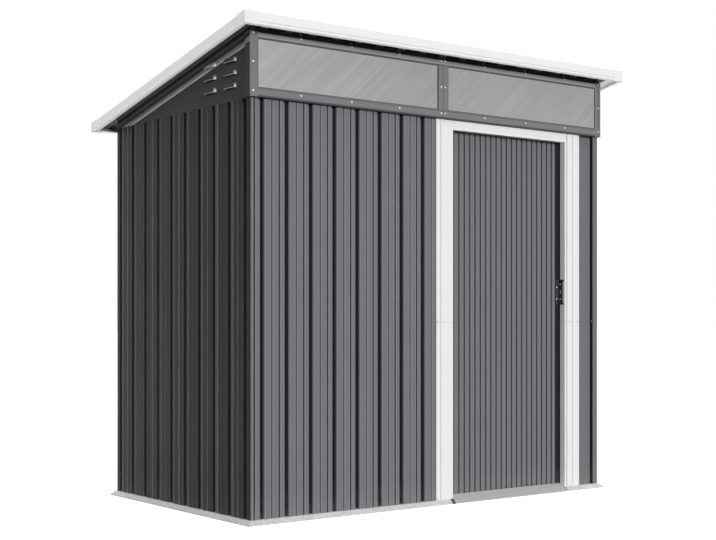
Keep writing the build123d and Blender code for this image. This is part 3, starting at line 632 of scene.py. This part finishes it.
left_paint, right_paint = side_ribs(wall_left, 1), side_ribs(wall_right, -1)
left_sheet = coated_steel("left_sheet_enamel", SHADED_SIDE_COLOUR, wear=0.0, paint=left_paint)
right_sheet = coated_steel("right_sheet_enamel", SHADED_SIDE_COLOUR, wear=0.0, paint=right_paint)

# %% [markdown]
# The door leaf has fine ribs with shallow valleys. Here both flanks are darkened by the same share
# as painted shade, which draws the narrow dark lines of the leaf. The folded grooves of the white
# jambs take the same painted shade, more lightly.

# %% Door leaf and white jambs
WHITE = (0.84, 0.84, 0.835, 1)


def darken_flanks(amount):
    """Painted shade that darkens every flank by an amount."""

    def paint(tree, colour):
        folds = fill_group(tree, FLANK_SHADE_GROUP)
        both = math_node(tree, "MAXIMUM", folds["Left Flank"], folds["Right Flank"])
        return shaded(tree, colour, remapped(tree, both, 0.0, 1.0, 1.0, 1.0 - amount))

    return paint


leaf_sheet = coated_steel("door_sheet_enamel", ANTHRACITE, paint=darken_flanks(0.62))
white_enamel = coated_steel(
    "white_enamel", WHITE, roughness=0.38, wear=0.0, cloud=0.02, dust=0.08, paint=darken_flanks(0.45)
)

# %% [markdown]
# The rails of the window band take darker stripes: painted shade on the folded edge next to the wall
# and next to the glazing, a painted shadow of the roof edge along the top of the upper rail, and a
# darker middle stripe on the lower rail. Height above the foot of the band, or depth below its top,
# places them. A stripe is given by where it begins and ends, how soft its ends are, and its colour.

# %% Window band rails
BAND_COLOUR = (0.205, 0.206, 0.215, 1)
TOP_RAIL_COLOUR = (0.33, 0.33, 0.345, 1)
FOLD_SHADE_COLOUR = (0.075, 0.075, 0.080, 1)
SHADED_EDGE = (0.030, 0.030, 0.032, 1)
MID_TONE = (0.145, 0.146, 0.152, 1)
# Rail stripes: painted shade on the folds, a darker middle stripe, and a painted shadow of the roof
# edge at the top.
BOTTOM_RAIL_STRIPES = ((-5.0, 6.5, 1.0, FOLD_SHADE_COLOUR), (28.0, 40.0, 1.5, MID_TONE))
TOP_RAIL_STRIPES = ((-5.0, 5.0, 1.5, SHADED_EDGE), (21.5, 25.5, 0.8, FOLD_SHADE_COLOUR))


def striped(tree, colour, value, stripes):
    """Colour with soft stripes painted over it where a value lies in their ranges."""
    for low, high, soft, stripe in stripes:
        colour = mixed(tree, window(tree, value, low, high, soft), colour, stripe)
    return colour


def rail_paint(edge, direction, stripes):
    """Paint of a rail: stripes at their distances from one of its edges."""

    def paint(tree, colour):
        return striped(tree, colour, measured(tree, "Z", edge, direction), stripes)

    return paint


def rail_enamel(name, colour=BAND_COLOUR, paint=None):
    """Coat of the band, a little smoother than that of the walls."""
    return coated_steel(name, colour, roughness=0.36, paint=paint)


band_enamel = rail_enamel("band_enamel")
bottom_paint = rail_paint(band_low, 1, BOTTOM_RAIL_STRIPES)
top_paint = rail_paint(band_top, -1, TOP_RAIL_STRIPES)
bottom_rail = rail_enamel("bottom_rail_enamel", paint=bottom_paint)
top_rail = rail_enamel("top_rail_enamel", TOP_RAIL_COLOUR, top_paint)

# %% [markdown]
# The gable plate has a line of bands under the roof: a black foam strip that closes the gap to the
# roof sheets, a fine ridge painted pale as a painted highlight, and a broad pressed strip painted
# pale and partly metallic as a painted highlight. All of them run parallel to the roof, so one value
# describes them: how far a point lies below the roof line. Each band is a stripe in that value, like
# those of the rails. The front ends of the louvres are painted as pale metal, also a painted
# highlight.

# %% Gable plate
GABLE_COLOUR = (0.165, 0.167, 0.176, 1)
RIDGE_HIGHLIGHT = (0.42, 0.42, 0.43, 1)
PALE_STRIP_HIGHLIGHT = (0.72, 0.72, 0.73, 1)
FOAM_COLOUR = (0.010, 0.010, 0.010, 1)
PALE_STRIP = (36.5, 56.5, 0.8)
GABLE_STRIPES = (
    (15.0, 21.0, 0.6, RIDGE_HIGHLIGHT),
    (*PALE_STRIP, PALE_STRIP_HIGHLIGHT),
    (-9.0, 5.0, 0.8, FOAM_COLOUR),
)
# Painted highlight: share of pale metal on the strip and on the front ends of the louvres.
STRIP_SHINE = 0.3
LOUVRE_SHINE = 0.6


def below_roof(tree):
    """Millimetres that a point lies below the underside of the roof."""
    drop = measured(tree, "Z", roof_line(0.0), -1)
    fallen = times(tree, measured(tree, "Y", 0.0), ROOF_FALL)
    return math_node(tree, "SUBTRACT", drop, fallen)


def gable_bands(tree, colour):
    """Colour of the gable plate by its distance below the roof line."""
    return striped(tree, colour, below_roof(tree), GABLE_STRIPES)


def gable_shine(tree, bent_normal):
    """Mask of the painted highlights: the pale strip and the front ends of the louvres."""
    strip = times(tree, window(tree, below_roof(tree), *PALE_STRIP), STRIP_SHINE)
    lean = parts_of(tree, bent_normal)["Y"]
    ends = remapped(tree, lean, -0.30, -0.70, 0.0, LOUVRE_SHINE)
    return math_node(tree, "MAXIMUM", strip, ends)


gable_enamel = coated_steel("gable_enamel", GABLE_COLOUR, paint=gable_bands, shine=gable_shine)

# %% [markdown]
# The corner post of the window band turns round the corner and ends flush on the gable. Its side
# continues the lines of the gable plate, so the same bands, with their painted highlights, are
# painted where the post looks sideways, and its front keeps the colour of the rails, with painted
# shade on the fold of the right one.

# %% Corner posts of the band
POST_SIDE_COLOUR = (0.13, 0.132, 0.138, 1)
OUTER_FOLD = (-6.0, -1.5, 0.6)
OUTER_FOLD_SHADE = -0.55


def sideways(tree, x_part):
    """One where a face looks left or right."""
    return remapped(tree, math_node(tree, "ABSOLUTE", x_part), 0.4, 0.6)


def post_sides(tree, colour):
    """Rail colour in front, gable bands on the side."""
    side = sideways(tree, face_parts(tree)["X"])
    outer_fold = window(tree, measured(tree, "X", wall_right), *OUTER_FOLD)
    front = shaded(tree, colour, toned(tree, 1.0, outer_fold, OUTER_FOLD_SHADE))
    return mixed(tree, side, front, gable_bands(tree, POST_SIDE_COLOUR))


post_enamel = rail_enamel("corner_post_enamel", paint=post_sides)

# %% [markdown]
# Roof sheets are coated on top in the shed's grey. Their underside is near black, and the flanks of
# the ribs there are painted paler as painted highlights. Past the walls the side overhang is painted
# paler as painted light. Whether a face looks down is the Z part of its normal, so one material
# serves both sides of the same sheet.

# %% Roof sheets
ROOF_UNDERSIDE_COLOUR = (0.030, 0.030, 0.032, 1)
UNDERSIDE_FLANK_HIGHLIGHT = (0.70, 0.70, 0.71, 1)
SIDE_OVERHANG_LIGHT = (0.30, 0.30, 0.31, 1)


def roof_sides(tree, colour):
    """Grey coat on top; below, near black, with painted highlights on the flanks and painted light
    on the side overhang.
    """
    parts = face_parts(tree)
    below = remapped(tree, parts["Z"], -0.05, -0.10)
    # Painted highlights on the flanks underneath and painted light on the side overhang.
    roof_underside = mixed(tree, sideways(tree, parts["X"]), ROOF_UNDERSIDE_COLOUR, UNDERSIDE_FLANK_HIGHLIGHT)
    reach = math_node(tree, "ABSOLUTE", place_parts(tree)["X"])
    outside = remapped(tree, reach, wall_right, wall_right + 1 * MM)
    roof_underside = mixed(tree, outside, roof_underside, SIDE_OVERHANG_LIGHT)
    return mixed(tree, below, colour, roof_underside)


roof_enamel = coated_steel("roof_enamel", ANTHRACITE, dust=0.35, paint=roof_sides)

# %% [markdown]
# The base rail is hot-dip galvanised. Zinc freezes on the steel in flat crystals, the spangle,
# and each crystal has its own grey and its own gloss. A Voronoi texture is the natural match:
# one random value per cell drives both the colour and the roughness. The sill is plain rolled
# aluminium, and a noise drawn out along it gives the fine lines of the rolls.

# %% Galvanised steel
# The paler zinc is a lit copy of the rail zinc: painted light on the left base rail and a painted
# highlight on the louvre lips.
RAIL_ZINC, PAINTED_LIGHT_ZINC = (0.53, 0.535, 0.54), (0.74, 0.745, 0.75)
SILL_COLOUR = (0.43, 0.435, 0.43)


def around(tree, value, middle, spread):
    """Noise turned into a value that stays within a spread of a middle."""
    return remapped(tree, value, 0.3, 0.7, middle - spread, middle + spread)


def bare_metal(tree, shader, colour, roughness, metallic):
    """Colour, gloss and rounded bends of uncoated metal."""
    feed(tree, shader, {
        "Base Color": colour,
        "Roughness": roughness,
        "Normal": fill_group(tree, BEND)["Normal"],
        "Metallic": metallic,
    })


def galvanised_steel(name, colour):
    """Zinc-coated steel with a small spangle."""
    material, tree, shader = new_material(name)
    inputs = {"Vector": own_place(tree), "Scale": 170.0}
    cells = add_node(tree, "TexVoronoi", inputs)
    grain = add_node(tree, "SeparateColor", {0: cells.outputs["Color"]}).outputs[0]
    cloud = around(tree, noise(tree, 9.0, 4.0), 0.0, 0.06)
    tone = plus(tree, remapped(tree, grain, 0.0, 1.0, 0.84, 1.10), cloud)
    dirt = fill_group(tree, DUST, {"Amount": 0.25, "Splash Height": 0.02})["Mask"]
    base = mixed(tree, dirt, shaded(tree, colour, tone), DUST_COLOUR)
    bare_metal(tree, shader, base, remapped(tree, grain, 0.0, 1.0, 0.42, 0.60), 0.35)
    return material


def brushed_sill():
    """Plain rolled aluminium of the sill, its fine lines along the doorway."""
    material, tree, shader = new_material("brushed_aluminium")
    lines = noise(tree, 1.0, 3.0, 0.6, scaled_place(tree, (2, 700, 700)))
    blotch = around(tree, noise(tree, 14.0, 4.0), 0.0, 0.03)
    tone = plus(tree, remapped(tree, lines, 0.2, 0.8, 0.95, 1.05), blotch)
    base = shaded(tree, SILL_COLOUR, tone)
    bare_metal(tree, shader, base, remapped(tree, lines, 0.2, 0.8, 0.42, 0.56), 0.25)
    return material


zinc = galvanised_steel("galvanised_steel", RAIL_ZINC)
painted_light_rail = galvanised_steel("galvanised_painted_light", PAINTED_LIGHT_ZINC)
sill = brushed_sill()

# %% [markdown]
# The panes are thin frosted polycarbonate, cloudy enough to hide the inside but still a window.
# Seen closely the sheet has fine slanted streaks from drawing. Transmission stays a plain value, and
# the streaks go into the colour and the roughness. The left pane is painted a little paler towards
# its outer end, as painted light.

# %% Frosted sheet
STREAK_LEAN = radians(42)
STREAK_WIDTH = 1 / 30
PANE_COLOUR = (0.385, 0.386, 0.383)
LEFT_RUN = (0.0, 800.0)
LEFT_TONES = (1.25, 1.02)


def frosted_sheet():
    """Cloudy translucent plastic with faint slanted streaks."""
    material, tree, shader = new_material("frosted_sheet")
    lean = {"Rotation": (0, -STREAK_LEAN, 0), "Scale": (1, 1, STREAK_WIDTH)}
    inputs = {"Vector": own_place(tree), **lean}
    leaning = add_node(tree, "Mapping", inputs, vector_type="TEXTURE")
    streak = noise(tree, 2.6, 3.0, 0.6, leaning.outputs["Vector"])
    cloud = noise(tree, 3.0, 3.0)
    tone = plus(tree, around(tree, streak, 1.0, 0.09), around(tree, cloud, 0.0, 0.07))
    # Painted light: paler towards the outer end of the left pane.
    left_painted_light = remapped(tree, measured(tree, "X", wall_left), *LEFT_RUN, *LEFT_TONES)
    feed(tree, shader, {
        "Base Color": shaded(tree, PANE_COLOUR, times(tree, tone, left_painted_light)),
        "Roughness": remapped(tree, streak, 0.2, 0.8, 0.30, 0.45),
        "Transmission Weight": 0.15,
        "IOR": 1.45,
    })
    return material


# %% [markdown]
# The handle and the glides are moulded plastic: a matte skin with a very fine grain. The grain
# is a bump, because it is far smaller than anything that could be modelled.

# %% Moulded plastic


def moulded_plastic(name, colour, roughness):
    """Plastic with a fine grain on its skin."""
    material, tree, shader = new_material(name)
    grain = noise(tree, 1600.0, 2.0)
    bent_normal = fill_group(tree, BEND, {"Radius": 0.8 * MM})["Normal"]
    feed(tree, shader, {
        "Base Color": shaded(tree, colour, around(tree, noise(tree, 40.0, 3.0), 1.0, 0.08)),
        "Roughness": around(tree, grain, roughness, 0.06),
        "Normal": bumped(tree, grain, bent_normal, 0.3, 0.05 * MM),
    })
    return material


pane = frosted_sheet()
black_plastic = moulded_plastic("black_plastic", (0.02, 0.02, 0.022), 0.5)
nylon = moulded_plastic("white_nylon", (0.75, 0.74, 0.7), 0.45)

# %% [markdown]
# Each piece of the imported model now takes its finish. A material is put in the piece's slot,
# and its mesh stays as it is.

# %% Give every piece its finish
FINISHES = {
    "white_paint": white_enamel,
    "zinc_steel": zinc,
    "sill_metal": sill,
    "frosted_sheet": pane,
    "black_plastic": black_plastic,
    "nylon": nylon,
    "anthracite_paint": anthracite,
}
OWN_FINISH = {
    "door_leading_stile": black_enamel,
    "front_roof_beam": beam_painted_shade,
    "front_wall": front_sheet,
    "front_wall_narrow": narrow_sheet,
    "left_wall": left_sheet,
    "right_wall": right_sheet,
    "rear_wall": rear_sheet,
    "door_leaf": leaf_sheet,
    # Painted light: the left base rail takes the paler zinc.
    "base_left_rail": painted_light_rail,
    "left_gable": gable_enamel,
    "right_gable": gable_enamel,
    **dict.fromkeys(ROOF_SHEETS, roof_enamel),
    "band_bottom_rail": bottom_rail,
    "band_top_rail": top_rail,
    "band_left_post": post_enamel,
    "band_right_post": post_enamel,
    "band_mullion": band_enamel,
}

slots = {part["node"]: part["material_slot"] for part in frame["record"]["subparts"]}
for name, piece in nodes.items():
    finish = OWN_FINISH.get(name, FINISHES[slots[name]])
    piece.data.materials.clear()
    piece.data.materials.append(finish)
print("dressed", len(nodes), "pieces")

# %% [markdown]
# Small hardware is turned on a lathe in real life, and it can be here. A profile is a list of
# radius and height, and each point becomes a ring. Six sides give a hexagon head and twenty a
# round washer, so one helper makes every screw. All screws of a group share one mesh.

# %% Lathe helper


def bridge(build, rings):
    """Faces between each ring of points and the next."""
    faces = []
    for low, high in zip(rings, rings[1:]):
        for step in range(len(low)):
            after = (step + 1) % len(low)
            faces.append(build.faces.new((low[step], low[after], high[after], high[step])))
    return faces


def turned(build, profile, sides, place, material_index):
    """Solid of revolution along the local Z axis, closed at its outer end."""
    rings = []
    for radius, height in profile:
        ring = []
        for step in range(sides):
            angle = 2 * pi * step / sides
            point = Vector((radius * cos(angle), radius * sin(angle), height))
            ring.append(build.verts.new(place @ point))
        rings.append(ring)
    for face in [build.faces.new(rings[-1])] + bridge(build, rings):
        face.material_index = material_index


def new_piece(name, build, materials, body):
    """Turns a built mesh into a piece of the shed that rides on one body."""
    mesh = bpy.data.meshes.new(name)
    bmesh.ops.recalc_face_normals(build, faces=build.faces)
    build.to_mesh(mesh)
    build.free()
    for material in materials:
        mesh.materials.append(material)
    piece = placed(name, mesh)
    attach(piece, body)
    print(name, "has", len(mesh.polygons), "faces")


# %% [markdown]
# The shed is held together by self-drilling screws with a hexagon head on a pressed flange.
# They are brighter than the rails, which is why they show as a row of dots round the window
# band. A thin black rubber washer under each keeps the rain out.

# %% Screws
SCREW_COLOUR = (0.76, 0.765, 0.77)


def bright_zinc():
    """Bright plated steel of the screws."""
    material, tree, shader = new_material("bright_zinc")
    cloud = noise(tree, 240.0, 2.0)
    tone = remapped(tree, cloud, 0.3, 0.7, 0.9, 1.05)
    feed(tree, shader, {
        "Base Color": shaded(tree, SCREW_COLOUR, tone),
        "Roughness": remapped(tree, cloud, 0.3, 0.7, 0.30, 0.42),
        "Metallic": 0.5,
    })
    return material


WASHER = ((6.2, 0.0), (6.2, 0.7))
FLANGE = ((5.6, 0.7), (5.4, 1.4), (4.0, 1.7))
HEXAGON = ((3.9, 1.5), (3.9, 4.2), (3.3, 4.8))
SCREW_PARTS = ((WASHER, 20, 1), (FLANGE, 20, 0), (HEXAGON, 6, 0))
OUTWARDS = (0, -1, 0)
screw_zinc = bright_zinc()
rubber = moulded_plastic("black_rubber", (0.018, 0.018, 0.018), 0.6)


def add_screw(build, point, direction, size):
    """Flanged hexagon screw that stands out of a surface."""
    place = Matrix.Translation(point) @ direction.to_track_quat("Z", "Y").to_matrix().to_4x4()
    for profile, sides, material_index in SCREW_PARTS:
        points = [(radius * MM * size, height * MM * size) for radius, height in profile]
        turned(build, points, sides, place, material_index)


def screw_group(name, points, direction=OUTWARDS, body="shed", size=1.0, metal=screw_zinc):
    """One mesh of like screws that all point the same way."""
    build = bmesh.new()
    for point in points:
        add_screw(build, Vector(point), Vector(direction), size)
    new_piece(name, build, [metal, rubber], body)


PANES = ("window_pane_left", "window_pane_right")
BAND_REACH = 10 * MM
BAND_SCREW_PITCH = 229 * MM
RAIL_SCREW_RISE = 21 * MM
TOP_SCREW_DROP = 7 * MM
POST_SCREW_INSET = 14.5 * MM
MULLION_SCREW_SPREAD = 10 * MM
band_left, band_right = wall_left - BAND_REACH, wall_right + BAND_REACH
band_posts = [band_left + POST_SCREW_INSET, band_right - POST_SCREW_INSET]
mullion_posts = [-MULLION_SCREW_SPREAD, MULLION_SCREW_SPREAD]
pane_middles = [(box_of(name)[0].x + box_of(name)[1].x) / 2 for name in PANES]
rail_screws = [middle + k * BAND_SCREW_PITCH for middle in pane_middles for k in (-1, 0, 1)]
low_row, high_row = band_low + RAIL_SCREW_RISE, band_top - TOP_SCREW_DROP
post_rows = [low_row, (low_row + high_row) / 2, high_row]
band_points = [(x, band_face, z) for x in band_posts + mullion_posts for z in post_rows]
band_points += [(x, band_face, z) for x in rail_screws for z in (low_row, high_row)]
screw_group("band_screws", band_points, size=0.68)

# %% [markdown]
# The white jambs are screwed to the frame at the head, at the seam half way up and at the foot.
# The plain strip next to the right jamb has one screw, coated like the wall. Rows of the same
# screws hold the roof sheets, on the crown of every second rib so that water runs past them.

# %% Screws of the jambs and the roof
SEAM_RISE = 701 * MM
FOOT_RISE = 5.5 * MM
HEAD_DROP = 7 * MM
LEFT_JAMB_INSETS = (6 * MM, 44 * MM)
RIGHT_JAMB_INSETS = (36 * MM, 80 * MM)
STRIP_SCREW_INSET = 35 * MM
seam, foot, head = wall_foot + SEAM_RISE, wall_foot + FOOT_RISE, wall_top - HEAD_DROP
left_rows = [box_of("jamb_left")[0].x + inset for inset in LEFT_JAMB_INSETS]
right_rows = [box_of("jamb_right")[0].x + inset for inset in RIGHT_JAMB_INSETS]
jamb_points = [(x, jamb_face, seam) for x in left_rows + right_rows]
jamb_points += [(x, jamb_face, foot) for x in left_rows + right_rows[:1]]
jamb_points += [(left_rows[1], jamb_face, head)]
screw_group("jamb_screws", jamb_points, size=0.55)
strip_points = [(wall_right - STRIP_SCREW_INSET, wall_front, seam)]
screw_group("corner_strip_screws", strip_points, size=0.6, metal=anthracite)

ROOF_RIB_PITCH = 105 * MM
ROOF_CROWN = 16.3 * MM
BEAM_SCREW_INSET = 20 * MM
BEAMS = ("front_roof_beam", "middle_roof_beam", "rear_top_rail")
beam_rows = [box_of(beam)[0].y + BEAM_SCREW_INSET for beam in BEAMS]
crowns = [k * ROOF_RIB_PITCH for k in range(-8, 9, 2)]
roof_points = [(x, y, roof_line(y) + ROOF_CROWN) for x in crowns for y in beam_rows]
screw_group("roof_screws", roof_points, (0, sin(ROOF_PITCH), cos(ROOF_PITCH)))

# %% [markdown]
# Clips stand on the top rail of the window band and reach up to the roof sheets. They are flat
# strips of coated steel, so a plain thin block each is all that the real ones are.

# %% Eave clips


def add_block(build, low, high):
    """Block between two corners."""
    place = Matrix.Translation((Vector(low) + Vector(high)) / 2)
    stretch = Matrix.Diagonal((*(Vector(high) - Vector(low)), 1))
    bmesh.ops.create_cube(build, size=1.0, matrix=place @ stretch)


CLIP_WIDTH = 14 * MM
CLIP_GAUGE = 1.2 * MM
CLIP_SETBACK = 5 * MM
CLIP_FOOT = 3 * MM
CLIP_GAP = 0.3 * MM
clip_front = band_face + CLIP_SETBACK
clip_back = clip_front + CLIP_GAUGE
clip_foot, clip_head = band_top - CLIP_FOOT, roof_line(clip_back) - CLIP_GAP
clips = bmesh.new()
for x in rail_screws + band_posts + mullion_posts:
    side, other_side = x - CLIP_WIDTH / 2, x + CLIP_WIDTH / 2
    add_block(clips, (side, clip_front, clip_foot), (other_side, clip_back, clip_head))
new_piece("eave_clips", clips, [anthracite], "shed")

# %% [markdown]
# A rubber bead seals each pane in its frame, and its black is also the painted shadow line round the
# glazing; thin blocks along the four sides of each opening are enough at its size of two
# millimetres. Two more beads run down the middle post: one at its left edge, a painted shadow line,
# and one in its joint.

# %% Pane seals
BOTTOM_FACE = 34.7 * MM
TOP_FACE = 26.0 * MM
POST_FACE = 33.6 * MM
MULLION_HALF = 25.0 * MM
SEAL = 2.2 * MM
SEAL_GAUGE = 0.8 * MM
BEAD_STAND = 0.3 * MM
pane_face = box_of("window_pane_left")[0].y
seal_front = pane_face - SEAL_GAUGE
low, high = band_low + BOTTOM_FACE, band_top - TOP_FACE
left_opening = (band_left + POST_FACE, -MULLION_HALF)
right_opening = (MULLION_HALF, band_right - POST_FACE)
seals = bmesh.new()
for start, end in (left_opening, right_opening):
    for a, b in (
        ((start, low), (end, low + SEAL / 2)),
        ((start, high - SEAL), (end, high)),
        ((start, low + SEAL / 2), (start + SEAL, high - SEAL)),
        ((end - 2 * SEAL, low + SEAL / 2), (end, high - SEAL)),
    ):
        add_block(seals, (a[0], seal_front, a[1]), (b[0], pane_face, b[1]))
corner_bead = (-MULLION_HALF - 3 * MM, -MULLION_HALF + 1.8 * MM, pane_face)
centre_joint = (-0.9 * MM, 0.9 * MM, band_face)
for start, end, back in (corner_bead, centre_joint):
    add_block(seals, (start, band_face - BEAD_STAND, low), (end, back, high))
new_piece("pane_seals", seals, [rubber], "shed")

# %% [markdown]
# Each louvre ends in a rolled lip that follows its mouth and curves back to the plate at both
# ends. A thin tube along that path is the lip. Its path is a line of points, and at each point
# a small ring is set square to it, which is all that a sweep does.

# %% Louvre lips
LIP_RADIUS = 1.0 * MM
LIP_RISE = 0.9 * MM
LOUVRE_LENGTH, LOUVRE_REACH = 80 * MM, 11 * MM
LOUVRE_FRONT, LOUVRE_COLUMN_PITCH = 93 * MM, 141 * MM
LOUVRE_ROW_PITCH, LOUVRE_ROOF_GAP, LOUVRE_HEIGHT = 47 * MM, 21 * MM, 20 * MM
LOUVRE_ROWS = 3
ARC_STEPS = 6


def tube(build, path, radius, sides=8):
    """Tube along a level path."""
    rings = []
    for i, point in enumerate(path):
        ahead = path[min(i + 1, len(path) - 1)] - path[max(i - 1, 0)]
        across = Vector((-ahead.y, ahead.x, 0)).normalized()
        ring = []
        for step in range(sides):
            angle = 2 * pi * step / sides
            offset = across * cos(angle) + Vector((0, 0, 1)) * sin(angle)
            ring.append(build.verts.new(point + offset * radius))
        rings.append(ring)
    bridge(build, rings)
    build.faces.new(rings[0][::-1])
    build.faces.new(rings[-1])


def lip_path(x, outwards, y, z):
    """Half of a louvre's outline on the gable, from its front end to its rear end."""
    straight = LOUVRE_LENGTH / 2 - LOUVRE_REACH
    points = []
    for side in (-1, 1):
        arc = [pi / 2 * step / ARC_STEPS for step in range(ARC_STEPS + 1)]
        for angle in arc if side < 0 else arc[::-1]:
            along = side * (straight + LOUVRE_REACH * cos(angle))
            points.append(Vector((x + outwards * LOUVRE_REACH * sin(angle), y + along, z)))
    return points


first_louvre = wall_front + LOUVRE_FRONT + LOUVRE_LENGTH / 2
last_louvre = first_louvre + LOUVRE_COLUMN_PITCH
top_louvre = roof_line(last_louvre + LOUVRE_LENGTH / 2) - LOUVRE_ROOF_GAP - LOUVRE_HEIGHT
lips = bmesh.new()
for x, outwards in ((wall_left, -1), (wall_right, 1)):
    for y in (first_louvre, last_louvre):
        for row in range(LOUVRE_ROWS):
            z = top_louvre - row * LOUVRE_ROW_PITCH + LIP_RISE
            tube(lips, lip_path(x, outwards, y, z), LIP_RADIUS)
# The lips take the paler zinc as a painted highlight along each louvre's mouth.
new_piece("louvre_lips", lips, [painted_light_rail], "shed")

# %% [markdown]
# The handle is screwed to the stile, and its flange has two more screws through its side. These
# ride with the door, so they are given to the door's body and not to the shed's.

# %% Handle screws
HANDLE_GAUGE = 3.0 * MM
PLATE_INSET = 6 * MM
PLATE_RISES = (21 * MM, -29 * MM)
FLANGE_REACH = 11 * MM
FLANGE_RISES = (34 * MM, -30 * MM)
handle_low, handle_high = box_of("door_handle")
handle_middle = (handle_low.z + handle_high.z) / 2
plate_face = box_of("door_leading_stile")[0].y - HANDLE_GAUGE
plate_row = handle_low.x + PLATE_INSET
flange_side = handle_high.x - HANDLE_GAUGE
plate_points = [(plate_row, plate_face, handle_middle + rise) for rise in PLATE_RISES]
screw_group("handle_plate_screws", plate_points, body="door", size=0.6)
flange_row = plate_face - FLANGE_REACH
flange_points = [(flange_side, flange_row, handle_middle + rise) for rise in FLANGE_RISES]
screw_group("handle_flange_screws", flange_points, (-1, 0, 0), body="door", size=0.55)

# %% [markdown]
# A strip of black rubber fills the joint where the base rail stops beside the sill, as a painted
# shadow in that gap.

# %% Sill joint
SKIRT_REACH = 20 * MM
SKIRT_LIP = 3.5 * MM
SKIRT_SLOPE_TOP = 5.5 * MM
JOINT_START, JOINT_END = 17.5 * MM, 2.0 * MM
JOINT_GAUGE = 0.5 * MM
JOINT_FOOT = 0.5 * MM


def add_prism(build, outline, x_start, x_end):
    """Prism along X over an outline of (y, z) points."""
    near, far = [[build.verts.new((x, y, z)) for y, z in outline] for x in (x_start, x_end)]
    build.faces.new(near)
    build.faces.new(far[::-1])
    bridge(build, [near, far])


joint = bmesh.new()
skirt_foot = wall_front - SKIRT_REACH
skirt_top = wall_front - SKIRT_SLOPE_TOP
joint_outline = [
    (skirt_foot, SKIRT_LIP),
    (skirt_top, wall_foot),
    (jamb_face, wall_foot),
    (jamb_face, wall_foot + JOINT_GAUGE),
    (skirt_top - JOINT_GAUGE, wall_foot + JOINT_GAUGE),
    (skirt_foot - JOINT_GAUGE, SKIRT_LIP + JOINT_GAUGE),
    (skirt_foot - JOINT_GAUGE, JOINT_FOOT),
    (skirt_foot, JOINT_FOOT),
]
add_prism(joint, joint_outline, door_low - JOINT_START, door_low - JOINT_END)
new_piece("sill_joint_shadow", joint, [rubber], "shed")

# %% [markdown]
# A thin strip of black rubber lies in the first groove of the right jamb, as painted shade in that
# groove.

# %% Jamb groove shade
JAMB_GROOVE = 13 * MM
BEAD_HALF = 1.2 * MM
BEAD_DEPTHS = (0.1 * MM, 1.0 * MM)
BEAD_END = 1 * MM
bead = bmesh.new()
bead_middle = door_high + JAMB_GROOVE
add_block(
    bead,
    (bead_middle - BEAD_HALF, jamb_face + BEAD_DEPTHS[0], wall_foot + BEAD_END),
    (bead_middle + BEAD_HALF, jamb_face + BEAD_DEPTHS[1], wall_top - BEAD_END),
)
new_piece("jamb_groove_shade", bead, [rubber], "shed")
